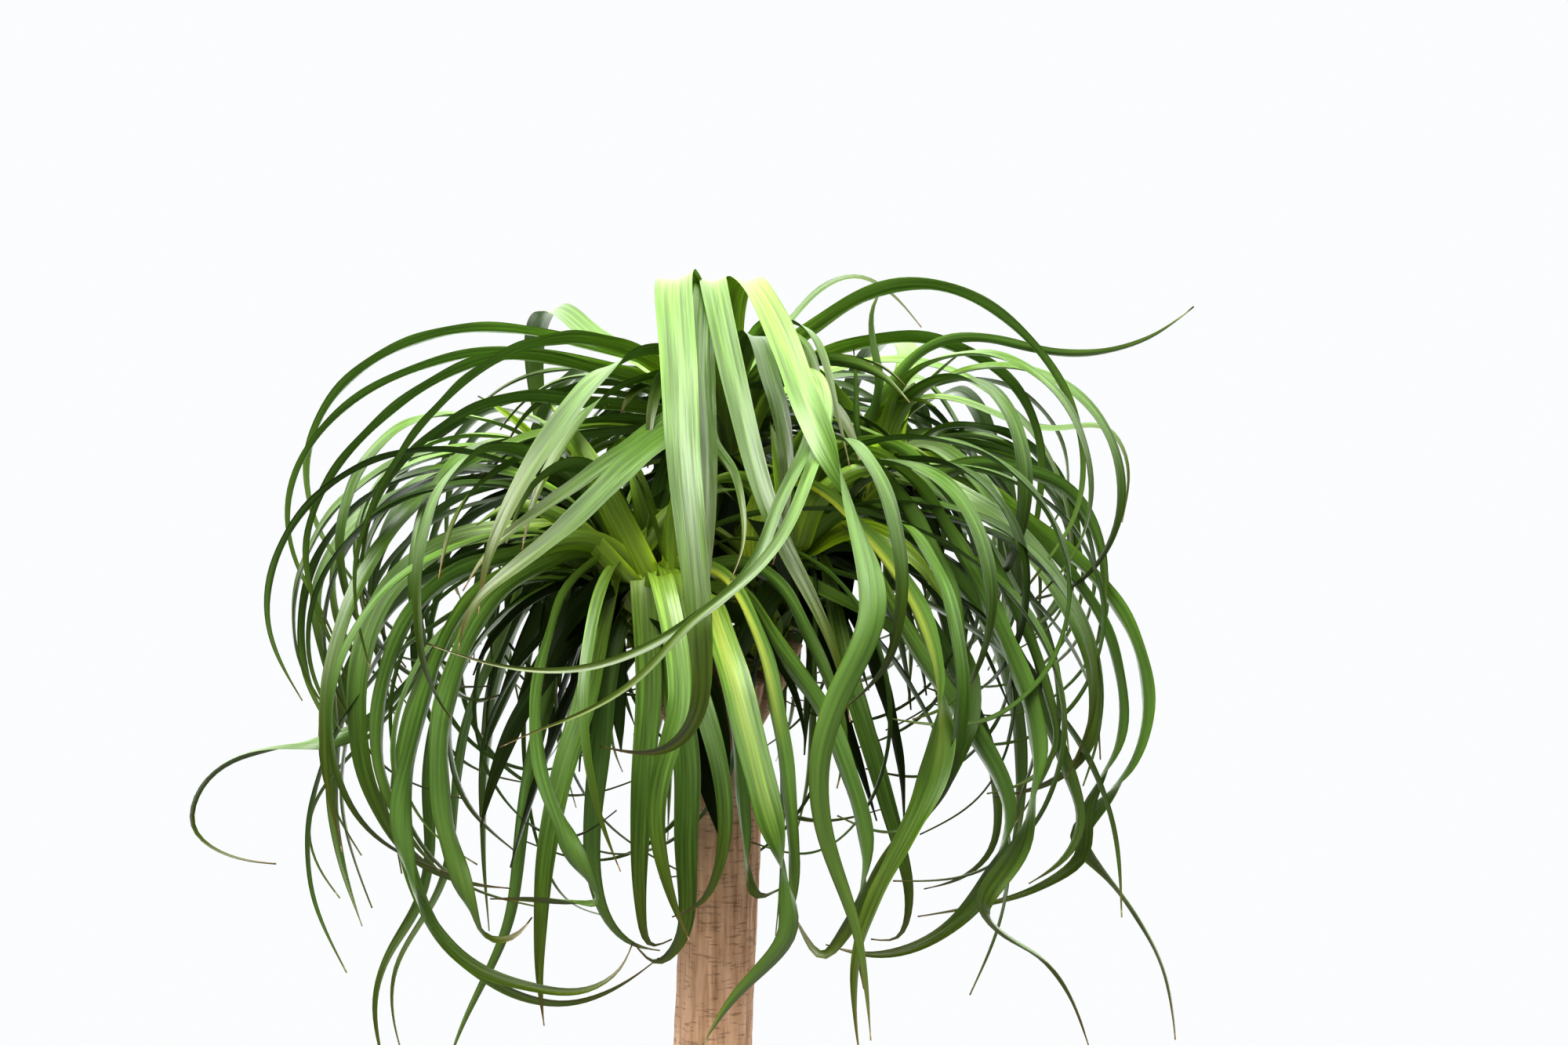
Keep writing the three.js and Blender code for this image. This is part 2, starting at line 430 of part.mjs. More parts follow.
function makeTrunk() {
  const { top, footStep, upperFrom, upperStep, shoulder } = TRUNK;
  const rings = BURIED_RINGS.map(([z, relief]) => trunkRing(z, relief, 0));
  const footTop = BURIED_RINGS.at(-1)[0];
  for (let z = footTop + footStep; z < upperFrom; z += footStep) rings.push(trunkRing(z, 1, 0));
  for (let z = upperFrom; z < top - STEM.sunk; z += upperStep) rings.push(trunkRing(z, 1, 0));
  for (const [below, drawnIn] of shoulder) rings.push(trunkRing(top - below, 1, -drawnIn));
  return wasm.Manifold.union([solidFromRings(rings), ...Object.values(HEADS).map(makeStem)]);
}

// A bare stem from inside the trunk's top to the foot of a head.
function makeStem(head) {
  const { radii, sunk, belly, sides } = STEM;
  const from = new THREE.Vector3(TRUNK.lean * (TRUNK.top - sunk - TRUNK.leanFrom), 0, TRUNK.top - sunk);
  const foot = vector(head.foot);
  const axis = vector(head.heart).sub(foot).normalize();
  const middle = foot.clone().addScaledVector(axis, -belly * foot.distanceTo(from));
  return tube(smoothLine([from, middle, foot], radii.length - 1), radii, axis, sides);
}

// A round tube along a line with a radius at each of its places, its last ring square to endAxis.
function tube(line, radii, endAxis, sides) {
  const rings = line.map((p, i) => {
    const ahead = line[Math.min(i + 1, line.length - 1)].clone().sub(line[Math.max(i - 1, 0)]).normalize();
    const axis = i === line.length - 1 ? endAxis : ahead;
    const across = new THREE.Vector3(0, 1, 0).cross(axis).normalize();
    const up = axis.clone().cross(across);
    return Array.from({ length: sides }, (_, k) => {
      const turn = (k / sides) * 2 * Math.PI;
      const spot = p.clone().addScaledVector(across, radii[i] * Math.cos(turn));
      return spot.addScaledVector(up, radii[i] * Math.sin(turn));
    });
  });
  return solidFromRings(rings);
}

// Soil, with a plain hole that the trunk's foot stands in
function makeSoil() {
  const { top, mound, sides, grain, grainX, grainY } = SOIL;
  const { floor, fillet } = POT;
  const holeRim = trunkRadius(top + mound);
  const outer = potInside(top) - GAP;
  const profile = [
    [0, floor + GAP], [potInside(floor + GAP) - GAP, floor + GAP],
    [potInside(floor + fillet) - GAP, floor + fillet + GAP], [outer, top],
    [outer - mound, top + mound / 3], [(outer + holeRim) / 2, top + mound * 0.8], [0, top + mound],
  ];
  const rough = new THREE.LatheGeometry(profile.map(([r, z]) => new THREE.Vector2(r, z)), sides);
  const corners = rough.rotateX(Math.PI / 2).attributes.position;
  for (let i = 0; i < corners.count; i++) {
    const [x, y, z] = [corners.getX(i), corners.getY(i), corners.getZ(i)];
    if (z > top) corners.setZ(i, z + grain * Math.sin(x / grainX) * Math.cos(y / grainY));
  }
  const hole = BURIED_RINGS.map(([z, relief], i) => trunkRing(z - (i === 0 ? GAP : 0), relief, GAP));
  return toSolid(rough).subtract(solidFromRings(hole));
}

// A leaf's middle line, root first. Leaves that set off low leave the tuft low down, upright ones near its
// top, and each sets off at the side of the tuft that it leans to.
function leafLine(head, points, slide) {
  const foot = vector(head.foot);
  const lift = vector(head.heart).sub(foot);
  const axis = lift.clone().normalize();
  const toward = points[1].clone().sub(foot);
  const rise = toward.dot(axis) / toward.length();
  const outward = points[0].clone().sub(foot).projectOnPlane(axis).normalize();
  const steep = smooth((rise + ROOT.droop) / (1 + ROOT.droop));
  const height = Math.max(ROOT.lowest, ROOT.low + ROOT.span * steep + slide);
  const root = foot.clone().addScaledVector(lift, height - ROOT.below);
  const neck = foot.clone().addScaledVector(lift, height + ROOT.above);
  neck.addScaledVector(outward, head.radius * ROOT.out);
  return smoothLine([root, neck, ...points], CURVE_STEPS);
}

// A filling leaf's points: it leaves at a slope, arches over and hangs past level, drifting a little to
// one side.
function fillingPoints(head, { toward, drift, rise, fall }, length) {
  const place = vector(head.heart);
  const points = [];
  const count = FILL.points * FILL.substeps;
  for (let n = 1; n <= count; n++) {
    const s = n / count;
    const slope = radians(rise - (rise + fall) * (FILL.early * s + (1 - FILL.early) * s * s));
    const turn = radians(toward + drift * s);
    const flat = Math.cos(slope);
    const step = new THREE.Vector3(flat * Math.cos(turn), flat * Math.sin(turn), Math.sin(slope));
    place.addScaledVector(step, length / count);
    if (n % FILL.substeps === 0) points.push(place.clone());
  }
  return points;
}

// Width of a strap at s along it: a narrow root, an even strap and a long thin tip.
function strapWidth(width, s) {
  const base = BLADE.root + (1 - BLADE.root) * smooth(s / BLADE.rootShare);
  return Math.max(BLADE.tipWidth, width * base * Math.max(0, 1 - s ** BLADE.taper));
}

// How a strap lies at each place of its line: along is its direction and side is the way of its width. The
// side is carried along the line without twist, eased toward showing its face to the eye, and rolled last
// of all.
function bearings({ line, face, roll, tipRoll, turnsOver }) {
  const { headingStep, ease, turnShare, rollFrom } = BLADE;
  const heading = line[headingStep].clone().sub(line[0]);
  const level = new THREE.Vector3(-heading.y, heading.x, 0).normalize();
  const eased = level.clone();
  const eye = new THREE.Vector3(SIGHT.x, -SIGHT.distance, SIGHT.z);
  const sameWay = (v) => (v.dot(eased) < 0 ? v.clone().negate() : v.clone());
  return line.map((p, i) => {
    const along = line[Math.min(i + 1, line.length - 1)].clone().sub(line[Math.max(i - 1, 0)]).normalize();
    for (const way of [level, eased]) way.addScaledVector(along, -way.dot(along)).normalize();
    const shown = eye.clone().sub(p).cross(along).normalize();
    const wanted = sameWay(level).multiplyScalar(1 - face).addScaledVector(sameWay(shown), face);
    eased.lerp(wanted, ease).normalize();
    const s = i / (line.length - 1);
    const over = turnsOver > 0 ? 180 * smooth((s - turnsOver) / turnShare + 0.5) : 0;
    const angle = radians(roll + tipRoll * smooth((s - rollFrom) / (1 - rollFrom)) + over);
    return { along, side: eased.clone().applyAxisAngle(along, angle) };
  });
}

// A blade: a strap with a flat upper face and a keel below. Sections are set where it has bent, twisted or
// run far enough since the last one, and a convex block joins each two, so the blade never runs through
// itself. A peg from each block reaches into the next and ties the two together.
function makeBlade(leaf) {
  const { line, width } = leaf;
  const mostTurn = radians(width < BLADE.thinWidth ? BLADE.thinTurn : BLADE.maxTurn);
  const lies = bearings(leaf);
  const sections = [];
  let bent = 0;
  let run = 0;
  let lastSide = lies[0].side;
  line.forEach((p, i) => {
    const { along, side } = lies[i];
    if (i > 0) {
      bent += along.angleTo(lies[i - 1].along);
      run += p.distanceTo(line[i - 1]);
    }
    const atEnd = i === 0 || i === line.length - 1;
    const twisted = side.angleTo(lastSide) > radians(BLADE.maxTwist);
    if (!atEnd && !twisted && bent <= mostTurn && run <= BLADE.maxStep) return;
    bent = 0;
    run = 0;
    lastSide = side;
    const half = strapWidth(width, i / (line.length - 1)) / 2;
    const keel = Math.max(BLADE.thinKeel, BLADE.keel * Math.min(1, half / BLADE.fullHalf));
    const upper = along.clone().cross(side);
    const corners = [[side, half], [side, -half], [upper, -keel]];
    sections.push({
      corners: corners.map(([way, by]) => p.clone().addScaledVector(way, by).toArray()),
      peg: p.clone().addScaledVector(upper, -keel / 3).addScaledVector(along, BLADE.peg).toArray(),
    });
  });
  const last = sections.length - 1;
  const blocks = sections.slice(1).map(({ corners, peg }, i) => wasm.Manifold.hull([
    ...sections[i].corners, ...corners, ...(i + 1 < last ? [peg] : []),
  ]));
  return wasm.Manifold.union(blocks);
}

// Crown
// Every leaf, the seen ones first, before it is settled among the others.
function leaves() {
  const random = randomFrom(SEED);
  const between = ([low, high]) => low + (high - low) * random();
  const all = SEEN_LEAVES.map(([name, width, face, turnsOver, seen]) => ({
    head: HEADS[name], points: seen.map(alongSight), width, face, turnsOver, roll: 0, tipRoll: 0,
    aside: new THREE.Vector3(0, 1, 0),
  }));
  for (const { head, count, aim, spread, length } of FILLING) {
    for (let n = 0; n < count; n++) {
      const toward = aim + spread * ((n + 0.5) / count - 0.5) + between(FILL.stray);
      const [drift, rise, fall] = [between(FILL.drift), between(FILL.rise), between(FILL.fall)];
      const shape = { toward, drift, rise, fall };
      let long = between(length);
      let points = fillingPoints(HEADS[head], shape, long);
      while (points.some((p) => Math.hypot(p.x, p.y) > CROWN_REACH)) {
        long *= FILL.shorten;
        points = fillingPoints(HEADS[head], shape, long);
      }
      all.push({
        head: HEADS[head], points, width: between(FILL.width), roll: between(FILL.roll),
        tipRoll: between(FILL.tipRoll), face: 0, turnsOver: 0,
        aside: new THREE.Vector3(-Math.sin(radians(toward)), Math.cos(radians(toward)), 0),
      });
    }
  }
  return all;
}

// How much a leaf's line is crowded by the leaves laid before it: leaves of its own head may pass nearer
// to it close to the tuft, and leaves of another head must stay well clear.
function crowding(leaf, line, laid) {
  let sum = 0;
  for (const other of laid) {
    const own = other.head === leaf.head;
    const reach = CLEAR.broad * (leaf.width + other.width) / 2;
    let worst = 0;
    for (let i = CLEAR.from; i <= CURVE_STEPS; i++) {
      const ownDistance = i < CLEAR.near ? CLEAR.nearDistance : CLEAR.distance;
      const wanted = own ? ownDistance : CLEAR.otherDistance + reach;
      const p = line[i];
      for (let j = CLEAR.from; j <= CURVE_STEPS; j++) {
        const q = other.line[j];
        const dx = p.x - q.x;
        if (dx > wanted || dx < -wanted) continue;
        const dz = p.z - q.z;
        if (dz > wanted || dz < -wanted) continue;
        worst = Math.max(worst, wanted - Math.hypot(dx, p.y - q.y, dz));
      }
    }
    sum += worst ** 2 * (own ? 1 : CLEAR.otherWeight);
  }
  return sum;
}

// Leaves that would run through one another are swung aside, each by the smallest swing that leaves it
// clear.
function settled(all) {
  const laid = [];
  for (const leaf of all) {
    let best = { cost: Infinity };
    for (const slide of CLEAR.slides) {
      const straight = leafLine(leaf.head, leaf.points, slide);
      for (const swing of CLEAR.swings) {
        const line = straight.map((p, i) => p.clone().addScaledVector(leaf.aside,
          swing * smooth(i / CURVE_STEPS / CLEAR.bend)));
        const cost = crowding(leaf, line, laid) + Math.abs(swing) * CLEAR.thrift + Math.abs(slide);
        if (cost < best.cost) best = { cost, line };
      }
    }
    leaf.line = best.line;
    laid.push(leaf);
  }
  return all;
}

// The tuft of leaf bases that a head's leaves leave from.
function makeTuft(head) {
  const foot = vector(head.foot);
  const lift = vector(head.heart).sub(foot);
  const axis = lift.clone().normalize();
  const start = foot.clone().addScaledVector(axis, GAP);
  const line = TUFT.places.map((t) => start.clone().addScaledVector(lift, t));
  const radii = [TUFT.footRadius, TUFT.neckRadius, head.radius, head.radius * TUFT.shoulder, TUFT.tip];
  return tube(line, radii, axis, TUFT.sides);
}

function makeHead(head, grown) {
  const blades = grown.filter((leaf) => leaf.head === head).map(makeBlade);
  return outerShell(wasm.Manifold.union([makeTuft(head), ...blades]).simplify(WELD));
}

// The one outer shell of a fused solid: small hollows sealed inside it are filled and loose scraps
// dropped. Each round also mends places where two sheets touch, so this goes on until one sound body is
// left.
function outerShell(solid) {
  let shell = solid;
  for (let round = 0; round < 10; round++) {
    shell = shell.decompose().reduce((most, body) => (body.volume() > most.volume() ? body : most));
    shell = toSolid(toGeometry(shell));
    const mesh = shell.getMesh();
    const pinched = pinchedEdges(mesh);
    if (pinched.length === 0 && shell.decompose().length === 1) break;
    shell = mended(mesh, pinched);
  }
  return shell;
}

// Corners that share a place, as lists of their numbers.
function sharedPlaces(mesh) {
  const places = new Map();
  for (let i = 0; i < mesh.numVert; i++) {
    const corner = Array.from(mesh.vertProperties.slice(3 * i, 3 * i + 3));
    const key = corner.map((v) => Math.round(v / SAME_PLACE)).join();
    places.set(key, [...(places.get(key) ?? []), i]);
  }
  return [...places.values()];
}

// Edges where more than two faces meet, as pairs of corners.
function pinchedEdges(mesh) {
  const spot = new Map();
  sharedPlaces(mesh).forEach((group, n) => group.forEach((i) => spot.set(i, n)));
  const met = new Map();
  for (let t = 0; t < mesh.triVerts.length; t++) {
    const next = t % 3 === 2 ? t - 2 : t + 1;
    const pair = [mesh.triVerts[t], mesh.triVerts[next]];
    const key = pair.map((i) => spot.get(i)).sort((p, q) => p - q).join();
    met.set(key, [...(met.get(key) ?? []), pair]);
  }
  return [...met.values()].filter((pairs) => pairs.length > 2).map((pairs) => pairs[0]);
}

// Sheets that touch at corners of their own are drawn apart, and a pinched edge with no corners to spare
// is closed.
function mended(mesh, pinched) {
  const shape = new THREE.BufferGeometry();
  shape.setAttribute('position', new THREE.BufferAttribute(new Float32Array(mesh.vertProperties), 3));
  shape.setIndex(new THREE.BufferAttribute(new Uint32Array(mesh.triVerts), 1));
  shape.computeVertexNormals();
  const { position, normal } = shape.attributes;
  const touching = sharedPlaces(mesh).filter((group) => group.length > 1).flat();
  for (const i of touching) {
    const spot = new THREE.Vector3().fromBufferAttribute(position, i);
    spot.addScaledVector(new THREE.Vector3().fromBufferAttribute(normal, i), -WELD);
    position.setXYZ(i, spot.x, spot.y, spot.z);
  }
  if (touching.length === 0) {
    for (const [a, b] of pinched) position.setXYZ(b, position.getX(a), position.getY(a), position.getZ(a));
  }
  const corners = mergeVertices(shape.deleteAttribute('normal'), 1e-4);
  const faces = [];
  for (let t = 0; t < corners.index.count; t += 3) {
    const [a, b, c] = corners.index.array.slice(t, t + 3);
    if (a !== b && b !== c && c !== a) faces.push(a, b, c);
  }
  return new wasm.Manifold(new wasm.Mesh({
    numProp: 3,
    vertProperties: new Float32Array(corners.attributes.position.array),
    triVerts: new Uint32Array(faces),
  }));
}

// Assembly
const plant = new THREE.Group();

function place(name, solid, [colour, roughness]) {
  const material = new THREE.MeshStandardMaterial({ color: colour, roughness, metalness: 0 });
  const mesh = new THREE.Mesh(toGeometry(solid), material);
  mesh.name = name;
  plant.add(mesh);
}

place('pot', makePot(), COLOURS.clay);
place('soil', makeSoil(), COLOURS.soil);
place('trunk', makeTrunk(), COLOURS.bark);
const grown = settled(leaves());
place('head_top', makeHead(HEADS.top, grown), COLOURS.leaf);
place('head_front_left', makeHead(HEADS.frontLeft, grown), COLOURS.leaf);
place('head_front_right', makeHead(HEADS.frontRight, grown), COLOURS.leaf);
place('head_right', makeHead(HEADS.right, grown), COLOURS.leaf);
place('head_left', makeHead(HEADS.left, grown), COLOURS.leaf);

export default plant;
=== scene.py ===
# %% [markdown]
# # A potted ponytail palm
#
# A ponytail palm is a woody plant with a swollen foot that stores water. Its trunk forks into short stems,
# and each stem ends in a head of long strap leaves that rise, arch over and hang. This notebook dresses the
# measured solids of one such plant: the pot, the soil, the trunk and five heads of leaves.
#
# The solids come in as a fixed frame, in metres. Everything below is built over them and keeps their form.

# %% Start
import math

import bpy
import numpy as np
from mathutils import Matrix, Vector, noise


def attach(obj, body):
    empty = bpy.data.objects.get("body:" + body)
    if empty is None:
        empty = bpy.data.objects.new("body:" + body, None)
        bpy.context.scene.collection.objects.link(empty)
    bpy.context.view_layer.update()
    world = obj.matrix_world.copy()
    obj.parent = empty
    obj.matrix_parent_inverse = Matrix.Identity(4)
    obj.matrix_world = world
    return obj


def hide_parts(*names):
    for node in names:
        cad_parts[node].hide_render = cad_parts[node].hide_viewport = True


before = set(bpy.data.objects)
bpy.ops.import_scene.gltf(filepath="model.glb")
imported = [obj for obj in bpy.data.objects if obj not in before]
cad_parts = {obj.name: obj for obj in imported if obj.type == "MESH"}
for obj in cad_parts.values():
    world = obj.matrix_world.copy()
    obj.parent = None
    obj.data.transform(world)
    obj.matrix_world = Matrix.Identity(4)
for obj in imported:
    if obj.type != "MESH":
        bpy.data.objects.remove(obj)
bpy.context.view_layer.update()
MM = 0.001
print("solids:", sorted(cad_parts))

# %% [markdown]
# ## Camera
#
# The photograph looks level at the crown from about a metre and a half, with a normal lens, and its lower
# edge cuts the plant off at mid trunk. A 50 mm lens on a 36 mm sensor at 1556 mm shows 1120 mm across at
# the trunk, which is what the leaf widths and the trunk ask for.

# %% Camera
EYE = np.array([50.0, -1556.0, 880.0])
LENS = 50
SENSOR = 36

camera_data = bpy.data.cameras.new("eye")
camera_data.lens = LENS
camera_data.sensor_width = SENSOR
camera = bpy.data.objects.new("eye", camera_data)
camera.location = Vector(EYE) * MM
camera.rotation_euler = (math.pi / 2, 0, 0)
bpy.context.scene.collection.objects.link(camera)
bpy.context.scene.camera = camera
print("eye at", [round(v, 3) for v in camera.location])

# %% [markdown]
# ## Helpers for colour and finish
#
# Colours are written as the sRGB hex values that a paint chart would give, and one function turns them to
# the linear values that the renderer works in. A pattern's scale is given as the real size of one of its
# features, and a second function turns that to how many of them lie in a metre. A third adds a shader node
# with its settings and links, so that each finish below reads as a short list of steps.
#
# A Mix node has a pair of inputs for every kind of value that it can mix, all with the same names. The pair
# for colours is picked by number.

# %% Helpers for colour and finish
COLOUR_A = 6
COLOUR_B = 7
MIXED_COLOUR = 2


def linear(hex_colour):
    """A linear RGBA colour from an sRGB hex value such as '#8fb34a'."""
    parts = [int(hex_colour[i:i + 2], 16) / 255 for i in (1, 3, 5)]
    return [c / 12.92 if c <= 0.04045 else ((c + 0.055) / 1.055) ** 2.4 for c in parts] + [1.0]


def per_metre(size):
    """How many features of a size in millimetres lie in a metre."""
    return 1 / (size * MM)


def add(tree, kind, links=None, stops=(), **settings):
    """Adds a node of that kind. links maps an input to a socket, or to the value that the input holds.

    stops are the places and hex colours along a node that has a colour ramp.
    """
    node = tree.nodes.new(kind)
    for key, value in settings.items():
        setattr(node, key, value)
    for key, value in (links or {}).items():
        if isinstance(value, bpy.types.NodeSocket):
            tree.links.new(value, node.inputs[key])
        else:
            node.inputs[key].default_value = value
    for n, (place, colour) in enumerate(stops):
        elements = node.color_ramp.elements
        stop = elements[n] if n < 2 else elements.new(place)
        stop.position = place
        stop.color = linear(colour)
    return node


def new_finish(name):
    """An empty material with its output node: returns the material, its tree and the output."""
    material = bpy.data.materials.new(name)
    material.use_nodes = True
    tree = material.node_tree
    tree.nodes.clear()
    return material, tree, tree.nodes.new("ShaderNodeOutputMaterial")


print("a one millimetre grain is", round(per_metre(1)), "to a metre")

# %% [markdown]
# ## Light and floor
#
# The photograph is high key: broad soft light comes from behind and from above and lays a pale sheen on
# every arch, and there is deep shade inside the crown where no light gets in. So the world is bright
# overhead, bright behind the plant, and dim on the near side and below. Every arch then has its sheen,
# leaves with the light behind them glow, and the inside keeps its shade.
#
# The exposure is raised and the gamma lowered, which deepens the shade and makes the greens stronger, as
# they are in the photograph. The camera itself sees plain white in every direction, held back by what the
# exposure adds, so that it stays just under full white. A square lamp above and in front models the near
# leaves, and a round pale floor catches the pot's shadow.

# %% Light and floor
BEHIND = 1.6
BEHIND_RISE = (0.1, 0.8)      # how far back a direction points where it sets in, and where it is full
ABOVE = 1.95
ABOVE_RISE = (0.0, 0.65)      # the same, by how far up the direction points
NEAR_SIDE = 0.16
BACKGROUND = "#fcfdfe"
EXPOSURE = 1.1                # in stops
DEEPER_SHADE = 0.77           # below 1, shade comes out deeper and colours stronger
FLOOR_RADIUS = 0.9
PAPER_GRAIN = 1.111           # millimetres, coarser than real paper's, so that it shows

world = bpy.data.worlds.new("bright_behind_and_above")
bpy.context.scene.world = world
world.use_nodes = True
tree = world.node_tree
place = add(tree, "ShaderNodeTexCoord")
direction = add(tree, "ShaderNodeSeparateXYZ", {"Vector": place.outputs["Generated"]})
from_behind = add(tree, "ShaderNodeMapRange", {
    "Value": direction.outputs["Y"], "From Min": BEHIND_RISE[0], "From Max": BEHIND_RISE[1],
    "To Min": NEAR_SIDE, "To Max": BEHIND}, interpolation_type="SMOOTHSTEP")
from_above = add(tree, "ShaderNodeMapRange", {
    "Value": direction.outputs["Z"], "From Min": ABOVE_RISE[0], "From Max": ABOVE_RISE[1],
    "To Max": ABOVE}, interpolation_type="SMOOTHSTEP")
glow = add(tree, "ShaderNodeMath", {
    0: from_behind.outputs["Result"], 1: from_above.outputs["Result"]}, operation="MAXIMUM")
strength = add(tree, "ShaderNodeMix", {
    "Factor": add(tree, "ShaderNodeLightPath").outputs["Is Camera Ray"],
    "A": glow.outputs["Value"], "B": 2 ** -EXPOSURE})
tree.links.new(strength.outputs["Result"], tree.nodes["Background"].inputs["Strength"])
tree.nodes["Background"].inputs["Color"].default_value = linear(BACKGROUND)
view = bpy.context.scene.view_settings
view.view_transform = "Standard"
view.exposure = EXPOSURE
view.gamma = DEEPER_SHADE


def soft_light(name, place, aim, size, power, spread):
    """A square area light at place, in metres, turned to aim, whose grid keeps it within spread degrees."""
    data = bpy.data.lights.new(name, "AREA")
    data.size = size
    data.energy = power
    data.spread = math.radians(spread)
    light = bpy.data.objects.new(name, data)
    light.location = place
    light.rotation_euler = (Vector(aim) - Vector(place)).to_track_quat("-Z", "Y").to_euler()
    bpy.context.scene.collection.objects.link(light)


soft_light("above_and_in_front", place=(-0.35, -0.9, 2.0), aim=(0, 0, 0.85), size=1.3, power=6, spread=80)

floor_finish, tree, out = new_finish("matt_white_paper_floor")
grain = add(tree, "ShaderNodeTexNoise", {"Scale": per_metre(PAPER_GRAIN), "Detail": 2.0})
paper_bump = add(tree, "ShaderNodeBump", {
    "Height": grain.outputs["Fac"], "Distance": 0.2 * MM, "Strength": 0.3})
paper = add(tree, "ShaderNodeBsdfPrincipled", {
    "Base Color": linear("#8c8c8b"), "Roughness": 0.9, "Normal": paper_bump.outputs["Normal"]})
tree.links.new(paper.outputs["BSDF"], out.inputs["Surface"])

bpy.ops.mesh.primitive_circle_add(vertices=96, radius=FLOOR_RADIUS, fill_type="NGON", location=(0, 0, 0))
floor = bpy.context.object
floor.name = "floor"
floor.data.materials.append(floor_finish)
print("floor radius", FLOOR_RADIUS, "m")

# %% [markdown]
# ## Where the leaves run
#
# A leaf could be drawn as one long curve by hand, or grown by a rule. Here the straps that the photograph
# shows one by one are given by a few points each, read off the photograph, and the rest are grown by a
# seeded rule, so that the crown is the same every time. A point is read as x and z in the plane through the
# trunk, with its real depth y, all in millimetres, and is then moved along the line of sight to that depth.
#
# Each head starts on a bare stem: foot is where the stem ends and heart is the middle of the tuft of leaf
# bases.

# %% Where the leaves run
HEADS = {
    "top": dict(node="head_top", foot=(4, 24, 800), heart=(5, 50, 938), radius=17),
    "frontLeft": dict(node="head_front_left", foot=(-20, -26, 762), heart=(-50, -60, 846), radius=18),
    "frontRight": dict(node="head_front_right", foot=(24, -14, 770), heart=(50, -30, 866), radius=17),
    "right": dict(node="head_right", foot=(52, 24, 796), heart=(114, 52, 922), radius=15),
    "left": dict(node="head_left", foot=(-44, 30, 784), heart=(-88, 60, 892), radius=15),
}
for head in HEADS.values():
    head["foot"] = np.array(head["foot"], float)
    head["heart"] = np.array(head["heart"], float)

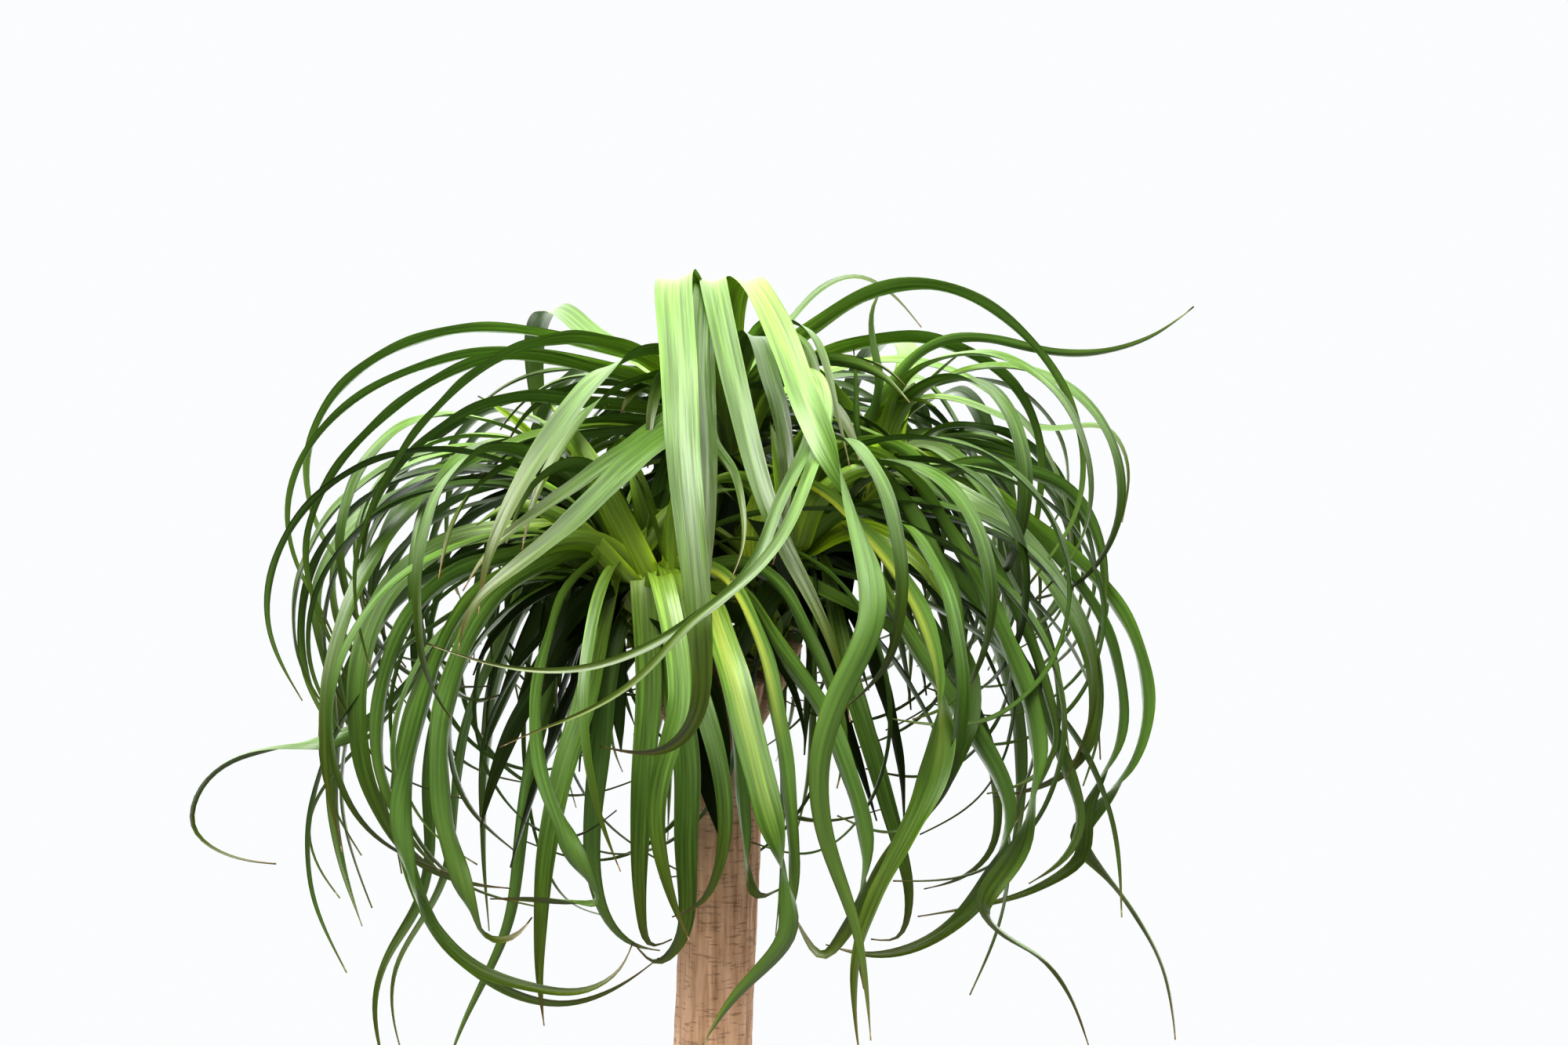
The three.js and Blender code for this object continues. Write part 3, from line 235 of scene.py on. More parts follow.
# Each row is the head, the strap's width, how far it turns its face to the eye (1 is fully), where along it
# the strap turns over (0 if it does not), and then the points that it passes.
SEEN_LEAVES = [
    # straps that arch over the top towards the eye
    ("top", 26, 0.35, 0, [(-12, 1030, -25), (-27, 1058, -85), (-26, 1005, -150), (-22, 930, -195),
        (-14, 850, -220), (-9, 785, -228), (-13, 742, -222), (-35, 718, -205), (-82, 720, -185)]),
    ("top", 18, 0.35, 0, [(-2, 1025, -15), (-5, 1052, -70), (-8, 1000, -125), (-5, 930, -165),
        (-5, 870, -190), (-7, 830, -200), (-6, 780, -205)]),
    ("top", 19, 0.35, 0, [(2, 1030, -20), (-2, 1058, -80), (8, 1010, -140), (20, 958, -180),
        (32, 912, -205), (52, 860, -225), (75, 815, -238), (90, 775, -240), (98, 735, -235)]),
    ("top", 21, 0.35, 0.52, [(12, 1030, -20), (22, 1056, -75), (45, 1022, -125), (64, 972, -165),
        (85, 920, -200), (104, 868, -225), (113, 815, -240), (93, 765, -240), (76, 712, -235),
        (80, 655, -225), (100, 595, -215), (112, 510, -210)]),
    ("top", 23, 0.35, 0, [(-15, 990, 0), (-45, 1003, -50), (-78, 988, -100), (-108, 952, -145),
        (-132, 915, -175), (-152, 875, -195), (-162, 845, -200), (-166, 815, -200)]),
    ("top", 16, 0.35, 0, [(-12, 965, -15), (-38, 950, -60), (-68, 928, -100), (-100, 905, -135),
        (-135, 880, -160), (-160, 857, -172), (-176, 832, -178)]),
    ("top", 21, 0.35, 0, [(-8, 955, -30), (-36, 940, -80), (-62, 918, -120), (-88, 892, -150),
        (-122, 862, -180), (-150, 840, -195), (-170, 818, -200), (-178, 790, -200)]),
    ("top", 16, 0.35, 0, [(-18, 985, -10), (-40, 988, -40), (-66, 981, -75), (-90, 965, -105),
        (-110, 938, -130), (-130, 900, -150), (-140, 860, -160)]),
    ("top", 19, 0.35, 0, [(-20, 945, 0), (-56, 947, -40), (-108, 940, -80), (-150, 922, -110),
        (-176, 902, -130), (-190, 875, -142), (-198, 840, -150)]),
    ("top", 17, 0.35, 0, [(18, 1000, 10), (28, 1014, -20), (40, 985, -60), (49, 950, -85), (52, 915, -100),
        (49, 880, -108), (42, 850, -110)]),
    ("top", 14, 0.35, 0, [(25, 1005, 10), (38, 1024, -5), (55, 1020, -25), (69, 1000, -45), (74, 970, -60),
        (70, 930, -70)]),
    ("top", 9, 0.3, 0, [(30, 1008, 0), (52, 1024, -30), (70, 1015, -60), (81, 990, -85), (88, 960, -100),
        (97, 920, -110)]),
    ("top", 8, 0.3, 0, [(0, 950, -30), (2, 936, -75), (14, 918, -110), (21, 893, -135), (21, 862, -150),
        (13, 840, -158)]),
    # straps from the top head that go left
    ("top", 15, 0.35, 0, [(-30, 985, 50), (-75, 1003, 45), (-120, 1015, 40), (-175, 1019, 35),
        (-230, 1004, 30), (-268, 976, 25), (-288, 940, 20), (-290, 900, 15), (-277, 865, 10),
        (-258, 838, 5), (-238, 800, 0)]),
    ("top", 14, 0.35, 0, [(-35, 975, 40), (-90, 995, 20), (-150, 1003, 5), (-215, 990, -10),
        (-265, 962, -20), (-295, 925, -25), (-305, 885, -28), (-298, 850, -28), (-280, 815, -25),
        (-265, 780, -20)]),
    ("top", 17, 0.35, 0, [(-30, 970, 30), (-85, 990, 0), (-145, 1000, -25), (-200, 982, -45),
        (-243, 950, -60), (-275, 912, -70), (-291, 870, -75), (-288, 830, -75), (-272, 790, -70),
        (-255, 745, -62)]),
    ("top", 20, 0.35, 0, [(-30, 985, 30), (-65, 1005, 0), (-110, 1012, -35), (-155, 998, -65),
        (-192, 970, -90), (-225, 930, -110), (-246, 890, -122), (-257, 850, -128), (-256, 815, -130),
        (-246, 775, -128)]),
    ("top", 19, 0.35, 0, [(-30, 955, 30), (-80, 965, 0), (-140, 970, -30), (-185, 955, -55),
        (-222, 925, -75), (-243, 893, -88), (-252, 855, -92), (-250, 815, -92)]),
    ("top", 24, 0.35, 0, [(-35, 985, 85), (-80, 1010, 130), (-116, 1034, 185), (-128, 1010, 235),
        (-125, 960, 265), (-115, 900, 280)]),
    # straps from the top head that go right
    ("top", 17, 0.35, 0, [(30, 985, 20), (68, 1018, 0), (100, 1039, -15), (145, 1051, -30),
        (195, 1036, -45), (235, 1000, -60), (258, 958, -70), (264, 915, -75), (255, 878, -75),
        (235, 848, -70), (212, 818, -60)]),
    ("top", 20, 0.35, 0, [(40, 975, 50), (75, 999, 45), (110, 1010, 40), (150, 1012, 35), (190, 998, 30),
        (222, 968, 25), (234, 925, 25), (232, 890, 30), (226, 860, 35), (215, 820, 45)]),
    ("top", 13, 0.35, 0, [(45, 970, 60), (85, 990, 60), (125, 997, 60), (165, 991, 60), (205, 968, 60),
        (233, 938, 60), (250, 900, 60), (256, 860, 60), (252, 810, 60)]),
    ("top", 7, 0.3, 0, [(25, 990, 40), (55, 1028, 40), (78, 1051, 40), (103, 1059, 40), (125, 1049, 40),
        (150, 1022, 40)]),
    # two long thin leaves that cross in front of the heart
    ("top", 9, 0.3, 0, [(40, 990, -20), (62, 985, -90), (69, 944, -150), (45, 890, -200), (26, 847, -225),
        (-15, 811, -235), (-53, 789, -238), (-97, 776, -238), (-137, 776, -236), (-164, 781, -234),
        (-204, 794, -230)]),
    ("top", 9, 0.3, 0, [(50, 985, -10), (80, 960, -120), (66, 910, -180), (48, 870, -215), (20, 838, -232),
        (-16, 809, -236), (-48, 775, -236), (-90, 747, -232), (-125, 733, -226), (-150, 722, -220)]),
    # straps of the front left head
    ("frontLeft", 22, 0.6, 0.66, [(-12, 838, -95), (2, 812, -125), (16, 765, -155), (30, 710, -170),
        (42, 660, -178), (51, 615, -180), (53, 590, -178), (38, 566, -172), (12, 538, -165),
        (-8, 507, -160)]),
    ("frontLeft", 20, 0.6, 0, [(-5, 848, -90), (15, 834, -118), (32, 800, -142), (45, 750, -160),
        (53, 695, -170), (57, 645, -174), (56, 610, -172), (48, 580, -168)]),
    ("frontLeft", 20, 0.6, 0.8, [(20, 830, -85), (45, 795, -115), (75, 752, -140), (97, 700, -155),
        (109, 650, -160), (105, 610, -158), (90, 582, -152), (77, 571, -146), (64, 586, -138),
        (56, 602, -130)]),
    ("frontLeft", 17, 0.6, 0, [(15, 850, -70), (45, 838, -95), (62, 812, -115), (76, 782, -128),
        (87, 755, -135), (93, 720, -138), (88, 690, -138)]),
    ("frontLeft", 15, 0.6, 0, [(-36, 850, -85), (-30, 832, -112), (-22, 795, -140), (-8, 750, -158),
        (4, 705, -166), (8, 665, -168), (3, 632, -165), (-10, 608, -158), (-30, 598, -150)]),
    ("frontLeft", 19, 0.6, 0.78, [(-75, 853, -80), (-102, 840, -110), (-119, 800, -140), (-128, 750, -158),
        (-123, 700, -165), (-107, 658, -165), (-90, 628, -160), (-82, 611, -152), (-110, 609, -140),
        (-160, 611, -125)]),
    ("frontLeft", 9, 0.3, 0, [(-65, 852, -90), (-80, 838, -125), (-90, 800, -155), (-95, 755, -172),
        (-91, 705, -178), (-82, 665, -178), (-68, 628, -172)]),
    ("frontLeft", 24, 0.6, 0.85, [(-80, 856, -75), (-125, 850, -105), (-160, 824, -135), (-184, 780, -155),
        (-196, 730, -168), (-195, 680, -172), (-184, 635, -170), (-170, 598, -164), (-160, 583, -156),
        (-142, 585, -146), (-130, 598, -138)]),
    ("frontLeft", 19, 0.6, 0, [(-85, 862, -60), (-140, 858, -85), (-190, 841, -110), (-222, 805, -130),
        (-237, 758, -142), (-239, 712, -146), (-229, 680, -144), (-215, 655, -138), (-195, 632, -130)]),
    ("frontLeft", 19, 0.6, 0, [(-85, 868, -50), (-140, 876, -70), (-190, 868, -90), (-230, 842, -105),
        (-255, 800, -115), (-263, 750, -120), (-259, 705, -120), (-244, 665, -116), (-222, 636, -108),
        (-185, 617, -98), (-150, 612, -90)]),
    ("frontLeft", 16, 0.6, 0.6, [(-80, 858, -70), (-135, 852, -100), (-178, 822, -128), (-203, 770, -148),
        (-217, 718, -158), (-224, 675, -160), (-219, 640, -156), (-205, 600, -148), (-175, 565, -138),
        (-130, 548, -125), (-92, 546, -112), (-66, 563, -100), (-58, 580, -95)]),
    ("frontLeft", 15, 0.6, 0, [(-95, 850, -30), (-160, 830, -45), (-205, 775, -60), (-226, 710, -70),
        (-222, 640, -72), (-200, 585, -70), (-160, 548, -65), (-112, 533, -58), (-70, 545, -50),
        (-40, 566, -45)]),
    ("frontLeft", 19, 0.6, 0, [(-60, 855, -80), (-80, 815, -115), (-95, 750, -132), (-110, 700, -138),
        (-121, 650, -140), (-126, 600, -138), (-127, 545, -132), (-124, 515, -128)]),
    ("frontLeft", 17, 0.6, 0, [(-58, 850, -45), (-72, 800, -66), (-82, 730, -76), (-89, 660, -78),
        (-86, 615, -76), (-74, 587, -72), (-58, 574, -66), (-40, 570, -60)]),
    ("frontLeft", 18, 0.6, 0, [(-50, 845, -85), (-47, 780, -100), (-50, 710, -102), (-53, 650, -98),
        (-52, 600, -92), (-44, 578, -84), (-30, 582, -76)]),
    ("frontLeft", 16, 0.6, 0, [(-38, 845, -95), (-24, 790, -120), (-24, 745, -128), (-35, 705, -130),
        (-38, 670, -130), (-32, 635, -126), (-24, 610, -120), (-15, 590, -112)]),
    ("frontLeft", 20, 0.6, 0, [(-42, 840, -75), (-28, 770, -92), (-19, 700, -98), (-20, 650, -98),
        (-19, 610, -95), (-26, 578, -90), (-42, 566, -82), (-58, 580, -74)]),
    ("frontLeft", 18, 0.6, 0.85, [(-20, 845, -80), (5, 790, -96), (18, 725, -96), (21, 680, -92),
        (24, 638, -88), (32, 612, -82), (45, 615, -75), (60, 625, -68)]),
    ("frontLeft", 18, 0.6, 0, [(-62, 875, -65), (-72, 895, -75), (-84, 914, -95), (-104, 922, -125),
        (-132, 905, -160), (-150, 865, -180)]),
    ("frontLeft", 14, 0.6, 0, [(-44, 872, -60), (-42, 898, -66), (-34, 925, -80), (-18, 940, -105),
        (6, 925, -130), (20, 890, -145)]),
    ("frontLeft", 13, 0.6, 0, [(-90, 850, -30), (-150, 830, -35), (-190, 770, -38), (-208, 700, -40),
        (-207, 640, -40), (-216, 602, -40), (-236, 568, -38), (-246, 535, -38), (-243, 500, -36),
        (-235, 470, -36)]),
    ("frontLeft", 11, 0.6, 0, [(-72, 850, -35), (-100, 810, -44), (-125, 740, -50), (-140, 660, -54),
        (-150, 590, -56), (-165, 553, -56), (-182, 518, -58), (-196, 480, -58)]),
    # straps of the left head
    ("left", 17, 0.4, 0, [(-130, 905, 60), (-190, 908, 50), (-235, 896, 40), (-268, 867, 30),
        (-284, 830, 25), (-280, 790, 20), (-265, 745, 20), (-245, 700, 25)]),
    ("left", 17, 0.4, 0, [(-130, 925, 50), (-170, 930, 40), (-205, 918, 30), (-235, 885, 20),
        (-250, 840, 15), (-248, 790, 15), (-235, 740, 20)]),
    ("left", 14, 0.4, 0.62, [(-130, 880, 10), (-185, 815, -30), (-225, 762, -50), (-262, 728, -60),
        (-300, 718, -65), (-345, 709, -70), (-373, 686, -75), (-378, 660, -75), (-352, 639, -75),
        (-318, 633, -75)]),
    ("left", 9, 0.3, 0, [(-140, 860, 20), (-200, 790, 0), (-245, 730, -10), (-275, 698, -15),
        (-291, 664, -20), (-284, 632, -20), (-269, 610, -20)]),
    ("left", 12, 0.4, 0, [(-112, 880, 30), (-150, 815, 8), (-178, 750, -8), (-192, 680, -16),
        (-200, 620, -20), (-218, 585, -22), (-236, 550, -24), (-238, 520, -26), (-230, 485, -26)]),
    # straps of the front right head
    ("frontRight", 24, 0.6, 0.6, [(45, 905, -50), (75, 905, -85), (105, 877, -118), (132, 843, -146),
        (152, 803, -164), (162, 758, -172), (159, 718, -172), (140, 670, -168), (113, 617, -160),
        (101, 580, -155), (99, 545, -152), (103, 505, -150)]),
    ("frontRight", 21, 0.6, 0.58, [(72, 915, -45), (100, 926, -70), (128, 908, -95), (152, 872, -118),
        (172, 828, -134), (184, 785, -142), (184, 742, -144), (170, 700, -142), (143, 658, -136),
        (115, 620, -128), (103, 580, -122), (108, 540, -118)]),
    ("frontRight", 23, 0.6, 0.7, [(75, 925, -30), (112, 930, -52), (145, 910, -78), (172, 870, -102),
        (198, 822, -122), (220, 772, -136), (233, 722, -142), (229, 675, -142), (212, 635, -136),
        (193, 602, -128), (205, 585, -120), (236, 565, -114), (256, 538, -110), (269, 503, -106)]),
    ("frontRight", 16, 0.6, 0, [(80, 922, -12), (120, 938, -28), (158, 912, -50), (185, 878, -70),
        (208, 835, -86), (228, 792, -98), (241, 750, -104), (244, 720, -104), (228, 698, -102),
        (195, 686, -98)]),
    ("frontRight", 19, 0.6, 0, [(85, 912, -5), (135, 915, -12), (180, 898, -26), (218, 870, -40),
        (250, 828, -52), (269, 785, -60), (273, 745, -62), (262, 712, -60), (235, 692, -54),
        (200, 684, -46)]),
    ("frontRight", 19, 0.6, 0, [(85, 890, -20), (130, 878, -42), (175, 838, -64), (212, 790, -80),
        (238, 742, -88), (256, 695, -90), (262, 665, -86), (250, 640, -78), (225, 622, -68)]),
    ("frontRight", 20, 0.6, 0.68, [(75, 880, -45), (112, 850, -75), (143, 795, -98), (172, 752, -110),
        (198, 712, -116), (212, 675, -116), (206, 640, -110), (185, 605, -100), (150, 578, -90),
        (110, 570, -80), (80, 577, -72)]),
    ("frontRight", 16, 0.6, 0, [(70, 860, -40), (90, 800, -56), (106, 740, -62), (122, 685, -62),
        (135, 640, -58), (139, 605, -52), (130, 583, -46), (112, 582, -40)]),
    ("frontRight", 15, 0.6, 0, [(90, 885, 0), (135, 840, 8), (170, 780, 14), (196, 720, 18), (203, 675, 18),
        (197, 645, 18), (180, 628, 16), (150, 618, 14)]),
    # straps of the right head
    ("right", 19, 0.45, 0.7, [(150, 925, 40), (195, 905, 25), (240, 870, 8), (280, 832, -8),
        (303, 790, -20), (309, 745, -26), (297, 705, -28), (272, 675, -26), (260, 655, -22),
        (272, 636, -20), (300, 600, -18), (320, 560, -18), (328, 512, -18)]),
    ("right", 17, 0.45, 0.72, [(150, 915, 30), (200, 895, 10), (245, 855, -10), (277, 810, -26),
        (291, 760, -36), (285, 712, -40), (265, 672, -38), (262, 645, -34), (240, 625, -28),
        (200, 610, -20), (145, 600, -12)]),
    ("right", 17, 0.45, 0, [(135, 940, 55), (170, 945, 50), (205, 940, 45), (238, 915, 40), (255, 890, 38),
        (262, 850, 38), (258, 800, 42)]),
    ("right", 16, 0.45, 0, [(140, 912, 42), (175, 920, 35), (215, 917, 25), (250, 902, 18), (268, 872, 12),
        (274, 838, 10), (268, 795, 10)]),
    ("right", 16, 0.45, 0, [(125, 935, 30), (150, 938, 5), (175, 928, -18), (200, 903, -38),
        (215, 870, -50), (222, 830, -56), (220, 780, -58)]),
    ("right", 10, 0.45, 0, [(140, 966, 60), (175, 970, 55), (215, 955, 50), (250, 949, 46), (285, 948, 42),
        (298, 930, 40), (300, 905, 40), (296, 880, 40)]),
    ("right", 10, 0.45, 0, [(108, 950, 40), (122, 972, 35), (142, 997, 30), (168, 1010, 25),
        (203, 1009, 20), (240, 1001, 15), (280, 1002, 12), (312, 1013, 10), (340, 1033, 8)]),
    ("right", 9, 0.3, 0, [(112, 955, 30), (118, 980, 15), (113, 1010, 10), (114, 1035, 8), (123, 1051, 5)]),
    ("right", 6, 0.3, 0, [(104, 940, 20), (101, 968, 8), (99, 1003, 0)]),
    ("right", 14, 0.45, 0, [(118, 958, 80), (130, 983, 110), (145, 970, 140), (152, 945, 160),
        (156, 915, 170), (158, 880, 175)]),
    ("right", 11, 0.45, 0, [(122, 962, 70), (145, 984, 85), (168, 962, 100), (188, 925, 112),
        (203, 885, 120), (212, 840, 125)]),
]

# For each head how many leaves fill it, the middle of their fan and its spread in degrees seen from above
# (0 is +X), and their length range. Rise is their slope at the tuft and fall how far past level the tip
# hangs, in degrees.
FILLING = [
    dict(head="top", count=14, aim=90, spread=130, length=(420, 600)),
    dict(head="left", count=14, aim=150, spread=210, length=(360, 500)),
    dict(head="right", count=13, aim=40, spread=200, length=(360, 480)),
    dict(head="frontLeft", count=6, aim=190, spread=100, length=(380, 480)),
    dict(head="frontRight", count=7, aim=325, spread=120, length=(380, 480)),
]
FILLING_SHAPE = dict(rise=(30, 78), fall=(125, 200), width=(11, 19), tip_roll=(-50, 50))
FAN_JITTER = 9
CROWN_REACH = 296
SEED = 25
CURVE_STEPS = 64
filling_count = sum(fan["count"] for fan in FILLING)
print(len(SEEN_LEAVES), "straps read from the photograph,", filling_count, "filling leaves")

# %% [markdown]
# ## Drawing a smooth middle line
#
# A strap leaf bends like a thin spring, so its middle line is a natural cubic spline: the smoothest curve
# through its points. The first two points are the root inside the tuft and the neck where the leaf leaves
# the tuft's side, low down for a leaf that sets off low and near the top for an upright one.

# %% Drawing a smooth middle line
ROOT = dict(lowest=0.16, low=0.12, span=0.7, droop=0.3, below=0.08, above=0.12, out=0.85)
SWING_BEND = 0.35    # the share of its length over which a leaf that is swung aside bends away


def smooth(t):
    """An even step from 0 to 1."""
    c = np.clip(t, 0, 1)
    return c * c * (3 - 2 * c)


def along_sight(point):
    """The real place of a point that is seen at x and z in the trunk's plane and lies at depth y."""
    x, z, y = point
    grow = (y - EYE[1]) / -EYE[1]
    return np.array([EYE[0] + (x - EYE[0]) * grow, y, EYE[2] + (z - EYE[2]) * grow])


def smooth_line(points, steps):
    """A natural cubic spline through points over their chord lengths, at steps + 1 even places."""
    points = np.array(points, float)
    spans = np.linalg.norm(np.diff(points, axis=0), axis=1)
    knots = np.concatenate([[0], np.cumsum(spans)])
    last = len(points) - 1
    slopes = np.diff(points, axis=0) / spans[:, None]
    bend = np.zeros_like(points)
    upper = np.zeros(last + 1)
    for i in range(1, last):
        pivot = 2 * (spans[i - 1] + spans[i]) - spans[i - 1] * upper[i - 1]
        upper[i] = spans[i] / pivot
        bend[i] = (6 * (slopes[i] - slopes[i - 1]) - spans[i - 1] * bend[i - 1]) / pivot
    for i in range(last - 1, 0, -1):
        bend[i] -= upper[i] * bend[i + 1]
    at = np.arange(steps + 1) / steps * knots[-1]
    i = np.clip(np.searchsorted(knots, at, side="left") - 1, 0, last - 1)
    h = spans[i][:, None]
    b = ((at - knots[i]) / spans[i])[:, None]
    a = 1 - b
    return (a * points[i] + b * points[i + 1]
            + ((a ** 3 - a) * bend[i] + (b ** 3 - b) * bend[i + 1]) * h * h / 6)


def unit(v):
    """v at length 1."""
    return v / np.linalg.norm(v)


def leaf_points(head, points, slide):
    """The root and the neck of a leaf, and then its own points."""
    lift = head["heart"] - head["foot"]
    axis = unit(lift)
    toward = points[1] - head["foot"]
    rise = toward @ axis / np.linalg.norm(toward)
    outward = points[0] - head["foot"]
    outward = unit(outward - axis * (outward @ axis))
    upright = smooth((rise + ROOT["droop"]) / (1 + ROOT["droop"]))
    height = max(ROOT["lowest"], ROOT["low"] + ROOT["span"] * upright + slide)
    root = head["foot"] + lift * (height - ROOT["below"])
    neck = head["foot"] + lift * (height + ROOT["above"]) + outward * head["radius"] * ROOT["out"]
    return [root, neck, *points]


def swing_lean(steps):
    """How much of its swing a leaf shows at each of its places."""
    return smooth(np.arange(steps + 1) / steps / SWING_BEND)


def leaf_line(leaf, steps):
    """A settled leaf's middle line, drawn with that many steps."""
    if "slide" not in leaf:
        return smooth_line(leaf["points"], steps)
    line = smooth_line(leaf_points(leaf["head"], leaf["points"], leaf["slide"]), steps)
    lean = leaf["swing"] * swing_lean(steps)
    return line + lean[:, None] * leaf["aside"]


first_row = SEEN_LEAVES[0]
first_line = smooth_line([along_sight(p) for p in first_row[4]], CURVE_STEPS)
print("the first strap runs from", first_line[0].round(), "to", first_line[-1].round(), "mm")

# %% [markdown]
# ## Growing the filling leaves
#
# A filling leaf leaves the tuft at a steep slope, turns over and hangs past level until its tip curls in.
# The draws come from a small seeded generator, the same one that grew the solids, so both crowns agree leaf
# by leaf.

# %% Growing the filling leaves
STRIPED = {25: 0.35, 26: 1.0, 52: 0.85}   # rows of SEEN_LEAVES with a pale band, and how pale it is
ARCH_STEPS = 28
POINT_EVERY = 4       # steps of an arch from one of the leaf's points to the next
LATE_BEND = 0.25      # the share of its bend that an arch keeps for its end
DRIFT = (-35, 35)     # degrees
ROLL = (-20, 20)
SHORTER = 0.95


def random_from(seed):
    """Even draws from 0 to 1."""
    state = seed
    mask = 0xFFFFFFFF

    def draw():
        nonlocal state
        state = (state + 0x6D2B79F5) & mask
        t = ((state ^ (state >> 15)) * (state | 1)) & mask
        t ^= (t + ((t ^ (t >> 7)) * (t | 61) & mask)) & mask
        return ((t ^ (t >> 14)) & mask) / (mask + 1)

    return draw


def between(low_high, draw):
    """An even draw between two values."""
    low, high = low_high
    return low + (high - low) * draw()


def arch_points(head, toward, drift, rise, fall, length):
    """Points of a leaf that arches over and hangs, drifting a little to one side."""
    s = np.arange(1, ARCH_STEPS + 1) / ARCH_STEPS
    slope = np.radians(rise - (rise + fall) * ((1 - LATE_BEND) * s + LATE_BEND * s * s))
    turn = np.radians(toward + drift * s)
    steps = np.stack([np.cos(slope) * np.cos(turn), np.cos(slope) * np.sin(turn), np.sin(slope)], axis=1)
    path = head["heart"] + np.cumsum(steps, axis=0) * length / ARCH_STEPS
    return list(path[POINT_EVERY - 1::POINT_EVERY])


def arching_leaf(head, toward, draw, ranges, reach, top=math.inf):
    """One leaf drawn from ranges, shortened until it is within reach of the trunk's line and under top."""
    shape = dict(toward=toward, drift=between(DRIFT, draw), rise=between(ranges["rise"], draw),
                 fall=between(ranges["fall"], draw))
    length = between(ranges["length"], draw)
    points = arch_points(head, length=length, **shape)
    while any(math.hypot(p[0], p[1]) > reach or p[2] > top for p in points):
        length *= SHORTER
        points = arch_points(head, length=length, **shape)
    side = math.radians(toward)
    return dict(head=head, points=points, width=between(ranges["width"], draw), roll=between(ROLL, draw),
                tip_roll=between(ranges["tip_roll"], draw), face=0, turns_over=0, pale=0,
                aside=np.array([-math.sin(side), math.cos(side), 0]))


def seen_leaf(name, width, face, turns_over, seen, pale=0):
    """A leaf through points that are read from the photograph."""
    return dict(head=HEADS[name], points=[along_sight(p) for p in seen], width=width, face=face,
                turns_over=turns_over, roll=0, tip_roll=0, pale=pale, aside=np.array([0.0, 1.0, 0.0]))


def grown_leaves():
    """Every leaf of the measured crown, before it is settled."""
    draw = random_from(SEED)
    grown = [seen_leaf(*row, pale=STRIPED.get(n, 0)) for n, row in enumerate(SEEN_LEAVES)]
    for fan in FILLING:
        for n in range(fan["count"]):
            share = (n + 0.5) / fan["count"] - 0.5
            toward = fan["aim"] + fan["spread"] * share - FAN_JITTER + 2 * FAN_JITTER * draw()
            ranges = dict(FILLING_SHAPE, length=fan["length"])
            grown.append(arching_leaf(HEADS[fan["head"]], toward, draw, ranges, CROWN_REACH))
    return grown


crown = grown_leaves()
print(len(crown), "leaves before they settle")

# %% [markdown]
# ## Keeping leaves out of one another
#
# Real leaves push past each other, so none runs through its neighbour. Each leaf is laid in turn, and where
# it would run into one that lies there already, it is swung aside a little or its root slides along the
# tuft, whichever small change leaves it clear. A leaf of another head has to stay further off than one of
# the same head.

# %% Keeping leaves out of one another
# Distances and swings are in millimetres. The first places of a leaf lie in its tuft and aren't compared,
# and the ones up to near may lie closer to their neighbours. From the leaves of another head a wide leaf
# keeps further off, by its breadth.
CLEAR = dict(distance=12, near_distance=7, near=12, first=4, thrift=0.4, other_distance=4.5, breadth=0.95,
             other_weight=12, slides=(0, 0.1, -0.1, 0.2),
             swings=(0, 7, -7, 14, -14, 21, -21, 28, -28, 36, -36, 45, -45))
COMPARED = slice(CLEAR["first"], None)
OWN_DISTANCE = np.where(
    np.arange(CURVE_STEPS + 1) < CLEAR["near"], CLEAR["near_distance"], CLEAR["distance"])


def crowding(leaf, lines, laid, every):
    """How much each of a few lines for a leaf is crowded by the leaves laid before it.

    Only one place in every few is compared.
    """
    mine = lines[:, COMPARED][:, ::every]
    low, high = mine.min((0, 1)), mine.max((0, 1))
    reach = [CLEAR["other_distance"] + CLEAR["breadth"] * (leaf["width"] + other["width"]) / 2
             for other in laid]
    near = [(other, r) for other, r in zip(laid, reach)
            if not (np.any(low > other["high"] + r) or np.any(high < other["low"] - r))]
    if not near:
        return np.zeros(len(lines))
    others = np.stack([other["line"][COMPARED][::every] for other, _ in near])
    flat = mine.reshape(-1, 3)
    beside = others.reshape(-1, 3)
    squared = (flat ** 2).sum(1)[:, None] + (beside ** 2).sum(1)[None] - 2 * flat @ beside.T
    squared = squared.reshape(len(lines), mine.shape[1], len(near), others.shape[1]).min(3)
    apart = np.sqrt(np.maximum(squared, 0))
    own = np.array([other["head"] is leaf["head"] for other, _ in near])
    other_distance = np.array([r for _, r in near])
    wanted = np.where(own[None, :], OWN_DISTANCE[COMPARED][::every, None], other_distance[None, :])
    worst = np.maximum(wanted - apart, 0).max(1)
    return (worst ** 2 * np.where(own, 1, CLEAR["other_weight"])).sum(1)


def settle(grown, laid, slides=CLEAR["slides"], swings=CLEAR["swings"], every=1):
    """Gives each leaf its slide and swing, and lays it."""
    swings = np.array(swings, float)
    lean = swing_lean(CURVE_STEPS)
    for leaf in grown:
        best = math.inf
        for slide in slides:
            if abs(slide) >= best:
                continue
            straight = smooth_line(leaf_points(leaf["head"], leaf["points"], slide), CURVE_STEPS)
            lines = straight + swings[:, None, None] * lean[None, :, None] * leaf["aside"]
            costs = crowding(leaf, lines, laid, every) + abs(swings) * CLEAR["thrift"] + abs(slide)
            n = int(np.argmin(costs))
            if costs[n] < best:
                best = costs[n]
                leaf.update(slide=slide, swing=swings[n], line=lines[n])
        leaf.update(low=leaf["line"].min(0), high=leaf["line"].max(0))
        laid.append(leaf)
    return laid


leaves = settle(crown, [])
print(len(leaves), "leaves,", sum(1 for leaf in leaves if leaf["swing"]), "of them swung aside")

# %% [markdown]
# ## How a strap lies
#
# Along its line a strap has a direction and a width. Its width is carried along the line without twist,
# then eased toward showing its face to the eye where the photograph shows a face, and rolled last of all. A
# strap that turns over does so within a quarter of its length.

